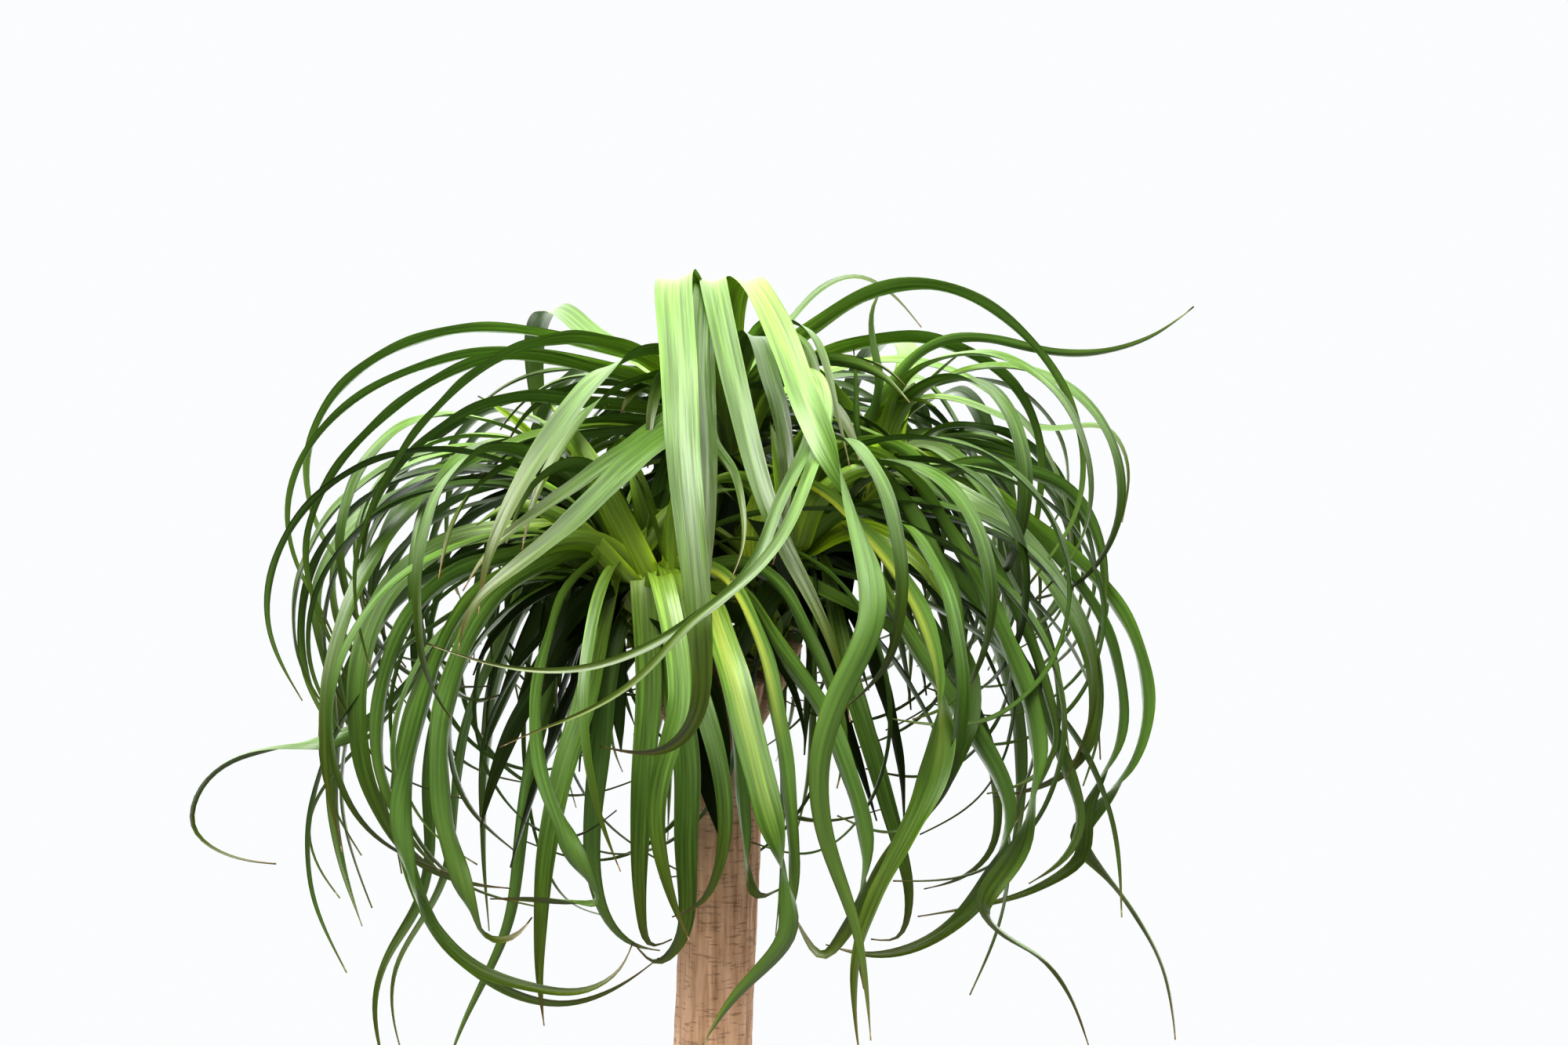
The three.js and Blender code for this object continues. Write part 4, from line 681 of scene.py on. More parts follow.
# %% How a strap lies
HEADING_STEP = 24     # the place whose bearing from the root gives the strap's first width
EASE = 0.15
TURN_SHARE = 0.26     # the share of its length in which a strap turns over
ROLL_FROM = 0.4       # where the roll of its tip sets in


def directions(line):
    """The unit direction at each place of a line."""
    ahead = np.concatenate([line[1:], line[-1:]])
    behind = np.concatenate([line[:1], line[:-1]])
    step = ahead - behind
    return step / np.linalg.norm(step, axis=1)[:, None]


def turned_about(v, axis, angle):
    """v turned about a unit axis that it is square to."""
    return v * math.cos(angle) + np.cross(axis, v) * math.sin(angle)


def widthways(leaf):
    """The way of a strap's width at each of its places."""
    line = leaf["line"]
    along = directions(line)
    heading = line[HEADING_STEP] - line[0]
    level = unit(np.array([-heading[1], heading[0], 0.0]))
    eased = level
    face = leaf["face"]
    ways = []
    for i, place in enumerate(line):
        level = unit(level - along[i] * (level @ along[i]))
        eased = unit(eased - along[i] * (eased @ along[i]))
        shown = unit(np.cross(EYE - place, along[i]))
        wanted = (level * (-1 if level @ eased < 0 else 1) * (1 - face)
                  + shown * (-1 if shown @ eased < 0 else 1) * face)
        eased = unit(eased + (wanted - eased) * EASE)
        s = i / CURVE_STEPS
        over = 180 * smooth((s - leaf["turns_over"]) / TURN_SHARE + 0.5) if leaf["turns_over"] else 0
        tip = leaf["tip_roll"] * smooth((s - ROLL_FROM) / (1 - ROLL_FROM))
        ways.append(turned_about(eased, along[i], math.radians(leaf["roll"] + tip + over)))
    return np.array(ways)


for leaf in leaves:
    leaf["ways"] = widthways(leaf)
print("widest strap", max(leaf["width"] for leaf in leaves), "mm")

# %% [markdown]
# ## Leaves that the solids leave out
#
# The solids keep the leaves that give the crown its outline. A real head also holds many that lie inside
# it: narrow young ones that stand up from its heart, shorter old ones deep inside that close the gaps to a
# dark core, a skirt of the oldest that hangs round the fork of the trunk, low ones that hang behind the
# outer arches, thin ones that curl, and on the top head a cover of short ones that hides its tuft from the
# side. All are grown by the same rule after the others, so they settle into the room that is left, and they
# stay inside the crown.
#
# The photograph shows the hearts of the near heads. So the old leaves and the thin ones leave part of the
# side toward the eye open, the skirt most of all at the front left, and a leaf of another head that would
# hang in front of the front left heart is left out. So is one that would run through the trunk or a stem.
# Age runs from 0 for the youngest leaf to 1 for the oldest, and the finish reads it. The old kinds inside
# the crown, the skirt most of all, get ages high enough that the finish paints them near black: painted
# shade of the core as well as age.

# %% Leaves that the solids leave out
# Open is how many degrees to either side of the way to the eye a kind leaves free.
YOUNG = dict(count=6, open=0, age=(0, 0.1),
             length=(80, 150), rise=(62, 88), fall=(-40, 50), width=(10, 17))
COVER = dict(count=18, open=0, age=(0.05, 0.6),
             length=(150, 240), rise=(25, 70), fall=(40, 110), width=(13, 20))
INNER = dict(count=10, open=85, age=(0.6, 1),
             length=(160, 300), rise=(5, 55), fall=(75, 160), width=(11, 18))
# The skirt's ages put nearly all of it in the near-black painted shade of the core.
SKIRT = dict(count=22, open=15, age=(0.94, 1),
             length=(110, 230), rise=(-80, 0), fall=(62, 90), width=(15, 22))
LOW = dict(count=14, open=65, age=(0.4, 0.95),
           length=(430, 580), rise=(5, 45), fall=(85, 135), width=(11, 18))
CURLED = dict(count=9, open=50, age=(0.3, 0.9),
              length=(360, 520), rise=(0, 45), fall=(150, 230), width=(5, 9))
KINDS = {
    "top": (COVER, SKIRT, LOW, CURLED, INNER),
    "frontLeft": (YOUNG, dict(SKIRT, open=48), LOW, CURLED, INNER),
    "frontRight": (YOUNG, SKIRT, LOW, CURLED, INNER),
    "right": (YOUNG, SKIRT, CURLED),
    "left": (YOUNG, SKIRT, LOW, CURLED, INNER),
}
EXTRA_TIP_ROLL = (-40, 40)

# The young lime leaves that show in the two near hearts: head, width and points, read as above.
HEART_LEAVES = [
    ("frontLeft", 21, [(-46, 835, -78), (-60, 866, -90), (-78, 902, -96), (-98, 938, -92),
        (-118, 966, -84)]),
    ("frontLeft", 20, [(-42, 836, -82), (-47, 870, -94), (-55, 905, -98), (-66, 940, -92)]),
    ("frontLeft", 13, [(-36, 838, -84), (-31, 872, -94), (-22, 908, -98), (-8, 942, -92)]),
    ("frontLeft", 18, [(-52, 840, -86), (-72, 858, -100), (-98, 868, -112), (-126, 860, -122),
        (-150, 834, -130)]),
    ("frontLeft", 15, [(-56, 838, -84), (-82, 862, -96), (-110, 884, -104), (-142, 892, -108),
        (-170, 878, -110)]),
    ("frontRight", 18, [(58, 862, -56), (68, 886, -68), (84, 906, -76), (108, 918, -80), (132, 912, -84)]),
    ("frontRight", 16, [(54, 862, -58), (52, 890, -70), (47, 922, -74), (40, 952, -68)]),
    ("frontRight", 17, [(62, 858, -60), (88, 872, -76), (118, 872, -90), (146, 852, -100),
        (166, 822, -106)]),
    ("frontRight", 12, [(48, 860, -58), (36, 886, -70), (22, 906, -76), (8, 914, -80)]),
]
HEART_FACE = 0.8
HEART_AGE = 0.05
INNER_SEED = 71
INNER_REACH = 285
INNER_TOP = 1052
TRUNK_LOW = np.array([0.0, 0.0, 220.0])
FORK = np.array([7.0, 0.0, 735.0])
OPEN_HEART = HEADS["frontLeft"]
HEART_VIEW = np.array([0.0, -150.0, 20.0])    # from the open heart, how far its view is kept free
TRUNK_ROOM = 36
STEM_ROOM = 22
HEART_ROOM = 30
ROOT_PLACES = 12      # places at a leaf's own root, which may lie close to the wood


def distance_to(line, a, b):
    """The least distance from a line's places to the straight stretch from a to b."""
    t = np.clip((line - a) @ (b - a) / ((b - a) @ (b - a)), 0, 1)
    return np.linalg.norm(line - a - t[:, None] * (b - a), axis=1).min()


def has_room(leaf):
    """Whether a leaf keeps off the wood and the other tufts, and out of the view of the open heart."""
    line = leaf["line"][ROOT_PLACES:]
    if distance_to(line, FORK, TRUNK_LOW) < TRUNK_ROOM:
        return False
    for head in HEADS.values():
        if distance_to(line, FORK, head["foot"]) < STEM_ROOM:
            return False
        end = head["heart"] + HEART_VIEW if head is OPEN_HEART else head["heart"]
        if head is not leaf["head"] and distance_to(line, head["foot"], end) < HEART_ROOM:
            return False
    return True


def extra_leaves(head, kind, draw):
    """Leaves of one kind, spread evenly round a head, or round what it does not leave open."""
    grown = []
    ranges = dict(kind, tip_roll=EXTRA_TIP_ROLL)
    for n in range(kind["count"]):
        toward = -90 + kind["open"] + (360 - 2 * kind["open"]) * (n + draw()) / kind["count"]
        leaf = arching_leaf(head, toward, draw, ranges, INNER_REACH, INNER_TOP)
        grown.append(dict(leaf, age=between(kind["age"], draw)))
    return grown


draw = random_from(INNER_SEED)
extra = [dict(seen_leaf(name, width, HEART_FACE, 0, seen), age=HEART_AGE)
         for name, width, seen in HEART_LEAVES]
extra += [leaf for name in HEADS for kind in KINDS[name] for leaf in extra_leaves(HEADS[name], kind, draw)]
leaves = settle(extra, leaves, slides=(0, 0.1), swings=(0, 9, -9, 18, -18, 27, -27), every=3)
leaves = [leaf for leaf in leaves if "age" not in leaf or has_room(leaf)]
for leaf in leaves:
    if "age" in leaf:
        leaf["ways"] = widthways(leaf)
kept = sum("age" in leaf for leaf in leaves)
print(kept, "of", len(extra), "extra leaves kept,", len(leaves), "leaves in all")

# %% [markdown]
# ## The strap itself
#
# A real strap is about half a millimetre thick and 15 to 25 mm wide, with a shallow gutter along its
# middle, thin edges that wave a little, and a broad pale base that clasps the tuft. The solid blade is a
# plain bar with a keel. Here the same line carries a section of twelve points: seven over the top, five
# back along the underside. Both rims are marked as sharp edges, so that the smooth shading does not run
# round them.
#
# The mesh also carries numbers for the finish: how far along the leaf a point lies, a tone for the whole
# leaf, which holds its age and also painted light and shade, whether it is the underside, how pale its band
# is, and a flat map in millimetres, across and along, for the veins.

# %% The strap itself
OVER = np.array([-1, -0.74, -0.38, 0, 0.38, 0.74, 1])    # places over the top, as shares of the half width
AROUND = 2 * len(OVER) - 2
THICKNESS = 0.55
THIN_EDGE = 0.5          # how much of the thickness is lost at the edge
RIB = dict(depth=0.35, width=0.2)
GUTTER = 0.3             # depth of the gutter as a share of the half width
GUTTER_CURVE = 1.25
CLASP = 0.55             # and how much deeper it is at the base
CLASP_LENGTH = 0.18      # as a share of the strap's length
BASE_SPREAD = 0.6        # how much wider the strap is where it clasps the tuft
NARROW_ROOT = 0.03       # the share of its length in which it narrows again to its root
TAPER = 3.6
TIP_WIDTH = 0.9
WAVE_LENGTH = (45, 85)
WAVE_DEPTH = 0.07
ROW_LENGTH = 6.5
ROWS = (24, 110)
# The seen straps get light tones as painted light, and the filling leaves of the near heads, which lie deep
# in the crown, get dark ones as painted shade.
TONES_WITH_PAINTED_LIGHT_AND_SHADE = dict(striped=0.14, seen=(0.12, 0.48), near=(0.6, 0.95), far=(0.3, 0.8))


def tone_with_painted_light_and_shade(leaf, draw):
    """How old a leaf looks, from 0 for a lime young one to 1 for a dark old one, with painted light and
    shade:
    the seen straps are lighter, and the near heads' filling leaves, deep in the crown, are darker.
    """
    if "age" in leaf:
        return leaf["age"]
    if leaf["pale"]:
        return TONES_WITH_PAINTED_LIGHT_AND_SHADE["striped"]
    if leaf["face"]:
        return between(TONES_WITH_PAINTED_LIGHT_AND_SHADE["seen"], draw)
    return between(TONES_WITH_PAINTED_LIGHT_AND_SHADE["near" if leaf["head"]["heart"][1] < 0 else "far"], draw)


def strap_mesh(leaf, draw):
    """Points, quads and the numbers that the finish reads, for one leaf."""
    length = np.linalg.norm(np.diff(leaf["line"], axis=0), axis=1).sum()
    rows = int(np.clip(length / ROW_LENGTH, *ROWS))
    line = leaf_line(leaf, rows)
    along = directions(line)
    s = np.arange(rows + 1) / rows
    ways = np.stack([np.interp(s * CURVE_STEPS, np.arange(CURVE_STEPS + 1), leaf["ways"][:, k])
                     for k in range(3)], axis=1)
    ways -= along * (ways * along).sum(1)[:, None]
    ways /= np.linalg.norm(ways, axis=1)[:, None]
    upper = np.cross(along, ways)
    clasp = 1 - smooth(s / CLASP_LENGTH)
    sheath = 1 + BASE_SPREAD * clasp - BASE_SPREAD * (1 - smooth(s / NARROW_ROOT))
    half = np.maximum(TIP_WIDTH, leaf["width"] * np.maximum(0, 1 - s ** TAPER)) * sheath / 2
    gutter = half * (GUTTER + CLASP * clasp)
    wave_length = between(WAVE_LENGTH, draw)
    phases = 2 * math.pi * draw(), 2 * math.pi * draw()
    run = s * length
    points = np.zeros((rows + 1, AROUND, 3))
    for k, u in enumerate(OVER):
        wave = np.sin(2 * math.pi * run / wave_length + phases[0 if u < 0 else 1])
        depth = wave * half * WAVE_DEPTH * u * u - gutter * (1 - abs(u) ** GUTTER_CURVE)
        points[:, k] = line + ways * (half * u)[:, None] + upper * depth[:, None]
        if abs(u) < 1:
            body = THICKNESS * (1 - THIN_EDGE * u * u) + RIB["depth"] * np.exp(-(u / RIB["width"]) ** 2)
            points[:, AROUND - k] = points[:, k] - upper * body
    i = np.arange(rows)[:, None] * AROUND
    k = np.arange(AROUND)[None, :]
    following = (k + 1) % AROUND
    quads = np.stack([i + k, i + following, i + AROUND + following, i + AROUND + k], axis=-1).reshape(-1, 4)
    cap = np.array([[k, AROUND - 1 - k, AROUND - 2 - k, k + 1] for k in range(len(OVER) - 2)])
    across = np.concatenate([OVER, OVER[-2:0:-1]])
    underside = np.arange(AROUND) >= len(OVER)
    every_point = np.ones((rows + 1) * AROUND)
    return dict(
        points=points.reshape(-1, 3),
        quads=np.concatenate([quads, cap[:, ::-1], cap + rows * AROUND]),
        along=np.repeat(s, AROUND) * leaf.get("share", 1),
        under=np.tile(underside, rows + 1),
        tone=every_point * tone_with_painted_light_and_shade(leaf, draw),
        stripe=every_point * leaf["pale"],
        across=(half[:, None] * across[None, :]).reshape(-1),
        run=np.repeat(run, AROUND))


def mesh_object(name, parts):
    """One object from such parts, with their numbers as attributes and their flat map in metres."""
    offsets = np.cumsum([0] + [len(part["points"]) for part in parts])
    points = np.concatenate([part["points"] for part in parts]) * MM
    quads = np.concatenate([part["quads"] + offset for part, offset in zip(parts, offsets)])
    mesh = bpy.data.meshes.new(name)
    mesh.vertices.add(len(points))
    mesh.vertices.foreach_set("co", points.astype(np.float32).ravel())
    mesh.loops.add(quads.size)
    mesh.loops.foreach_set("vertex_index", quads.astype(np.int32).ravel())
    mesh.polygons.add(len(quads))
    mesh.polygons.foreach_set("loop_start", np.arange(0, quads.size, 4, dtype=np.int32))
    mesh.polygons.foreach_set("use_smooth", np.ones(len(quads), bool))
    for key in ("along", "under", "tone", "stripe"):
        values = np.concatenate([part[key] for part in parts]).astype(np.float32)
        mesh.attributes.new(key, "FLOAT", "POINT").data.foreach_set("value", values)
    flat = np.stack([np.concatenate([part["across"] for part in parts]),
                     np.concatenate([part["run"] for part in parts])], axis=1) * MM
    mesh.uv_layers.new(name="flat").data.foreach_set("uv", flat[quads.ravel()].astype(np.float32).ravel())
    mesh.update()
    mesh.validate()
    ends = np.zeros(2 * len(mesh.edges), dtype=np.int32)
    mesh.edges.foreach_get("vertices", ends)
    place = ends.reshape(-1, 2) % AROUND
    rims = (place[:, 0] == place[:, 1]) & (place[:, 0] % (len(OVER) - 1) == 0)
    mesh.attributes.new("sharp_edge", "BOOLEAN", "EDGE").data.foreach_set("value", rims)
    made = bpy.data.objects.new(name, mesh)
    bpy.context.scene.collection.objects.link(made)
    return made


print("section of", AROUND, "points, rows every", ROW_LENGTH, "mm")

# %% [markdown]
# ## Leaf finish
#
# The leaf of a ponytail palm is a tough, slightly waxy strap. Its wax gives a broad soft sheen rather than
# a hard shine, so its roughness is middling. It is thin enough to pass some light, which comes through
# yellower than it went in. Fine parallel veins run its whole length, a little under a millimetre apart; the
# photograph shows them as faint streaks, so they are drawn twice as coarse here to hold at its scale.
# Between them run a few broad pleats.
#
# Colour runs from a lime base, where no light has greened it yet, over a fresh green strap to an olive tip.
# Every leaf has a tone of its own. The youngest are lime from end to end. The older a leaf is, the darker
# and duller it is, for its wax wears off, and the less light it passes. The oldest, which fill the core of
# the crown, are taken on to a near-black green: that is painted shade of the core as well as age. A few have
# a pale band along the middle.

# %% Leaf finish
YOUNG_LEAF = [(0.0, "#e6e68c"), (0.05, "#d0dc3a"), (0.13, "#b3cb3e"), (0.24, "#92ae4c"), (0.42, "#789a44"),
              (0.65, "#587622"), (0.93, "#58660f"), (1.0, "#7d5f38")]
OLD_LEAF = [(0.0, "#c4c864"), (0.05, "#8ca628"), (0.14, "#5c7c20"), (0.36, "#41601c"), (0.7, "#324a0d"),
            (0.93, "#40480c"), (1.0, "#5c4c24")]
LIME_LEAF = [(0.0, "#e9e890"), (0.08, "#d9e03c"), (0.3, "#b9cf1c"), (0.65, "#96b41a"), (1.0, "#86a22c")]
# Near black: painted shade for the crown's dark core, laid on the oldest leaves over their own darker
# colour.
DEEP_LEAF_PAINTED_SHADE = "#142003"
UNDERSIDE = "#739450"
PALE_BAND = "#dde27a"
THROUGH_LEAF = (2.1, 1.9, 0.4)      # what passing through a leaf does to red, green and blue
VEIN_SPACING = 1.786                # these four are in millimetres
VEIN_LENGTH = 71.4
PLEAT_SPACING = 5.26
PLEAT_LENGTH = 200


def waxy_strap_leaf():
    """The skin of every leaf, from what its mesh says of each point."""
    material, tree, out = new_finish("waxy_strap_leaf")
    number = {key: add(tree, "ShaderNodeAttribute", attribute_name=key).outputs["Fac"]
              for key in ("along", "tone", "under", "stripe")}
    flat = add(tree, "ShaderNodeUVMap", uv_map="flat").outputs["UV"]
    # the leaf's own colour along the strap
    along = {"Fac": number["along"]}
    young = add(tree, "ShaderNodeValToRGB", along, stops=YOUNG_LEAF)
    old = add(tree, "ShaderNodeValToRGB", along, stops=OLD_LEAF)
    lime = add(tree, "ShaderNodeValToRGB", along, stops=LIME_LEAF)
    aged = add(tree, "ShaderNodeMix", {
        "Factor": number["tone"], COLOUR_A: young.outputs["Color"], COLOUR_B: old.outputs["Color"]},
        data_type="RGBA")
    youngest = add(tree, "ShaderNodeMapRange", {"Value": number["tone"], "From Min": 0.12, "From Max": 0.04})
    limed = add(tree, "ShaderNodeMix", {
        "Factor": youngest.outputs["Result"], COLOUR_A: aged.outputs[MIXED_COLOUR],
        COLOUR_B: lime.outputs["Color"]}, data_type="RGBA")
    # Past a tone of 0.75 the colour goes most of the way to a near-black green: painted shade of the crown's
    # core, on top of the darker colour of age.
    oldest = add(tree, "ShaderNodeMapRange", {
        "Value": number["tone"], "From Min": 0.75, "From Max": 0.95, "To Max": 0.9})
    strap = add(tree, "ShaderNodeMix", {
        "Factor": oldest.outputs["Result"], COLOUR_A: limed.outputs[MIXED_COLOUR],
        COLOUR_B: linear(DEEP_LEAF_PAINTED_SHADE)}, data_type="RGBA")
    # veins, and broader pleats between them
    vein_place = add(tree, "ShaderNodeMapping", {
        "Vector": flat, "Scale": (per_metre(VEIN_SPACING), per_metre(VEIN_LENGTH), 1)})
    veins = add(tree, "ShaderNodeTexNoise", {
        "Vector": vein_place.outputs["Vector"], "Scale": 1, "Detail": 3})
    pleat_place = add(tree, "ShaderNodeMapping", {
        "Vector": flat, "Scale": (per_metre(PLEAT_SPACING), per_metre(PLEAT_LENGTH), 1)})
    pleats = add(tree, "ShaderNodeTexNoise", {
        "Vector": pleat_place.outputs["Vector"], "Scale": 1, "Detail": 2})
    vein_light = add(tree, "ShaderNodeMapRange", {
        "Value": veins.outputs["Fac"], "From Min": 0.3, "From Max": 0.7, "To Min": 0.56, "To Max": 1.24})
    pleat_light = add(tree, "ShaderNodeMapRange", {
        "Value": pleats.outputs["Fac"], "From Min": 0.3, "From Max": 0.7, "To Min": 0.72, "To Max": 1.24})
    light = add(tree, "ShaderNodeMath", {
        0: vein_light.outputs["Result"], 1: pleat_light.outputs["Result"]}, operation="MULTIPLY")
    coloured = add(tree, "ShaderNodeVectorMath", {
        0: strap.outputs[MIXED_COLOUR], "Scale": light.outputs["Value"]}, operation="SCALE")
    # the underside is greyer
    under = add(tree, "ShaderNodeMath", {0: number["under"], 1: 0.35}, operation="MULTIPLY")
    sided = add(tree, "ShaderNodeMix", {
        "Factor": under.outputs["Value"], COLOUR_A: coloured.outputs["Vector"],
        COLOUR_B: linear(UNDERSIDE)}, data_type="RGBA")
    # the pale band of the few striped leaves, which keeps to the middle line and fades along the leaf
    across = add(tree, "ShaderNodeSeparateXYZ", {"Vector": flat})
    off_middle = add(tree, "ShaderNodeMath", {0: across.outputs["X"]}, operation="ABSOLUTE")
    near_middle = add(tree, "ShaderNodeMapRange", {
        "Value": off_middle.outputs["Value"], "From Min": 6.5 * MM, "From Max": 2 * MM})
    fading = add(tree, "ShaderNodeMapRange", {
        "Value": number["along"], "From Min": 0.3, "From Max": 0.65, "To Min": 1, "To Max": 0})
    paler = add(tree, "ShaderNodeMath", {
        0: fading.outputs["Result"], 1: number["stripe"]}, operation="MULTIPLY")
    striped = add(tree, "ShaderNodeMath", {
        0: near_middle.outputs["Result"], 1: paler.outputs["Value"]}, operation="MULTIPLY")
    banded = add(tree, "ShaderNodeMix", {
        "Factor": striped.outputs["Value"], COLOUR_A: sided.outputs[MIXED_COLOUR],
        COLOUR_B: linear(PALE_BAND)}, data_type="RGBA")
    colour = banded.outputs[MIXED_COLOUR]
    # relief, sheen and the light that comes through
    relief = add(tree, "ShaderNodeMath", {
        0: pleats.outputs["Fac"], 1: 1.6, 2: veins.outputs["Fac"]}, operation="MULTIPLY_ADD")
    bump = add(tree, "ShaderNodeBump", {
        "Height": relief.outputs["Value"], "Distance": 0.5 * MM, "Strength": 0.8})
    waxy = add(tree, "ShaderNodeMapRange", {"Value": pleats.outputs["Fac"], "To Min": 0.3, "To Max": 0.44})
    sheen = add(tree, "ShaderNodeMapRange", {
        "Value": number["tone"], "From Min": 0.5, "From Max": 0.95, "To Min": 0.75, "To Max": 0.05})
    skin = add(tree, "ShaderNodeBsdfPrincipled", {
        "Base Color": colour, "Roughness": waxy.outputs["Result"], "IOR": 1.5,
        "Specular IOR Level": sheen.outputs["Result"], "Normal": bump.outputs["Normal"]})
    passed = add(tree, "ShaderNodeVectorMath", {0: colour, 1: THROUGH_LEAF}, operation="MULTIPLY")
    through = add(tree, "ShaderNodeBsdfTranslucent", {"Color": passed.outputs["Vector"]})
    thin = add(tree, "ShaderNodeMapRange", {
        "Value": number["tone"], "From Min": 0.5, "From Max": 0.95, "To Min": 0.24, "To Max": 0.04})
    leaf_shader = add(tree, "ShaderNodeMixShader", {
        "Fac": thin.outputs["Result"], 1: skin.outputs["BSDF"], 2: through.outputs["BSDF"]})
    tree.links.new(leaf_shader.outputs["Shader"], out.inputs["Surface"])
    return material


leaf_finish = waxy_strap_leaf()
print("finish:", leaf_finish.name)

# %% [markdown]
# ## The five heads
#
# Each head is one piece: the straps that settled on it and the tuft of leaf bases that they clasp. The tuft
# is a plain swelling in the solids. Here it is wrapped in short sheaths, as the stubs of old leaves are,
# set round it in the spiral in which a plant sets its leaves.

# %% The five heads
HEADS_SEED = 5
SHEATHS = 34
SHEATH_TURN = 2.4            # radians from one sheath to the next
SHEATH_FEET = (0.02, 0.92)   # from the tuft's foot to its heart
SHEATH_ROOT = 0.45           # how far out a sheath starts, as a share of the tuft's radius
SHEATH_SHAPE = [(0, 0), (0.35, 0.35), (0.75, 0.62), (1, 0.9)]   # shares of its reach, and of the radius out
SHEATH_REACH = (34, 60)
SHEATH_WIDTH = (20, 28)
SHEATH_COLOURS = 0.22        # the share of a leaf's colours, from its base on, that a sheath shows
# The old age at the tuft's foot also takes its sheaths partway to near black, painted shade low in the tuft
# as well as age.
SHEATH_AGES = (0.85, 0.05)   # at the tuft's foot and at its heart


def tuft_sheaths(head, draw):
    """Short broad leaf bases that wrap a tuft from its foot to its heart."""
    lift = head["heart"] - head["foot"]
    axis = unit(lift)
    first = unit(np.cross(axis, np.array([0.0, 1.0, 0.2])))
    second = np.cross(axis, first)
    radius = head["radius"]
    low, high = SHEATH_FEET
    oldest, youngest = SHEATH_AGES
    parts = []
    for n in range(SHEATHS):
        turn = SHEATH_TURN * n
        height = low + (high - low) * n / SHEATHS
        out = first * math.cos(turn) + second * math.sin(turn)
        base = head["foot"] + lift * height + out * radius * SHEATH_ROOT
        reach = between(SHEATH_REACH, draw)
        points = [base + axis * reach * up + out * radius * away for up, away in SHEATH_SHAPE]
        leaf = dict(head=head, points=points, width=between(SHEATH_WIDTH, draw), pale=0,
                    age=oldest + (youngest - oldest) * n / SHEATHS, share=SHEATH_COLOURS,
                    line=smooth_line(points, CURVE_STEPS),
                    ways=np.tile(np.cross(out, axis), (CURVE_STEPS + 1, 1)))
        parts.append(strap_mesh(leaf, draw))
    return parts


draw = random_from(HEADS_SEED)
for head in HEADS.values():
    parts = [strap_mesh(leaf, draw) for leaf in leaves if leaf["head"] is head] + tuft_sheaths(head, draw)
    piece = mesh_object("leaves_" + head["node"], parts)
    piece.data.materials.append(leaf_finish)
    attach(piece, "root")
    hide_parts(head["node"])
    print(piece.name, len(parts), "parts,", 2 * len(piece.data.polygons), "triangles")

# %% [markdown]
# ## Trunk
#
# The swollen foot is the plant's water store, and the bark over it splits into shallow plates as it grows.
# Higher up the trunk is nearly straight, with faint folds and rings where old leaves came off. The shape is
# the measured one, ring by ring, drawn finer, with a millimetre of bark relief from a seeded noise. The
# five short stems that carry the heads branch from its top.

# %% Trunk
TRUNK = dict(top=742, radius=27.5, foot_radius=71, foot_height=224, foot_spread=68, lean=0.03, lean_from=500)
SHOULDER = [(16, 0), (5, 5), (0, 13)]     # the rounded top: how far below it, and how far in
# Folds down the bark. Each is how many go round, the climb over which they lean by a radian, where they
# start, how deep they are, and how fast they fade above the foot.
FOLDS = [(3, 90, 0, 1, 0), (5, -60, 1, 1.4, 1), (8, math.inf, 2, 1.6, 2)]
# Heights of the trunk below the soil, and how far each shows the folds of the bark
BURIED = [(130, 0), (146, 0), (164, 0.3), (182, 0.7), (198, 1), (214, 1)]
BARE_FROM = 190       # just under the soil's top, where the bark's furrows start
TRUNK_SIDES = 168
TRUNK_RING = 2.6
# Marks in the bark, in millimetres: how wide and how high one is, and how deep. Leaf scars are rings a climb
# apart that wander up and down.
FURROW = dict(width=7, height=38, depth=0.75)
CRACK = dict(width=2.6, height=9, depth=0.35)
SCAR = dict(width=20, height=30, depth=0.14, climb=4.6, wander=2.2)
CRACKS_PLACE = Vector((40, 0, 0))    # so that the cracks don't repeat the furrows' noise
STEM = dict(radii=(16, 15, 14, 13), sunk=22, belly=0.4, steps=24, sides=40, relief=0.8)
STEM_SLIMMER = 0.4    # so that its furrows stay close to the measured stem


def trunk_radius(z):
    """The trunk's radius at height z, before its folds."""
    swell = np.exp(-((z - TRUNK["foot_height"]) / TRUNK["foot_spread"]) ** 2)
    return TRUNK["radius"] + (TRUNK["foot_radius"] - TRUNK["radius"]) * swell


def bark_relief(x, y, z):
    """How far the bark stands out for its furrows, cracks and scars."""
    furrow_at, crack_at, scar_at = [
        Vector((x / mark["width"], y / mark["width"], z / mark["height"])) for mark in (FURROW, CRACK, SCAR)]
    furrow = noise.noise(furrow_at)
    crack = noise.noise(crack_at + CRACKS_PLACE)
    scar = math.sin(z / SCAR["climb"] + SCAR["wander"] * noise.noise(scar_at))
    return FURROW["depth"] * furrow + CRACK["depth"] * crack + SCAR["depth"] * scar


def tube_mesh(rings):
    """Points and faces of a closed tube from rings of as many points each, ends fanned to a middle point."""
    rings = [np.array(ring) for ring in rings]
    sides = len(rings[0])
    count = len(rings)
    points = np.concatenate(rings + [rings[0].mean(0)[None], rings[-1].mean(0)[None]])
    faces = []
    for r in range(count - 1):
        for k in range(sides):
            a, b = r * sides + k, r * sides + (k + 1) % sides
            faces.append((a, b, b + sides, a + sides))
    for k in range(sides):
        following = (k + 1) % sides
        faces.append((count * sides, following, k))
        faces.append((count * sides + 1, (count - 1) * sides + k, (count - 1) * sides + following))
    return points, faces


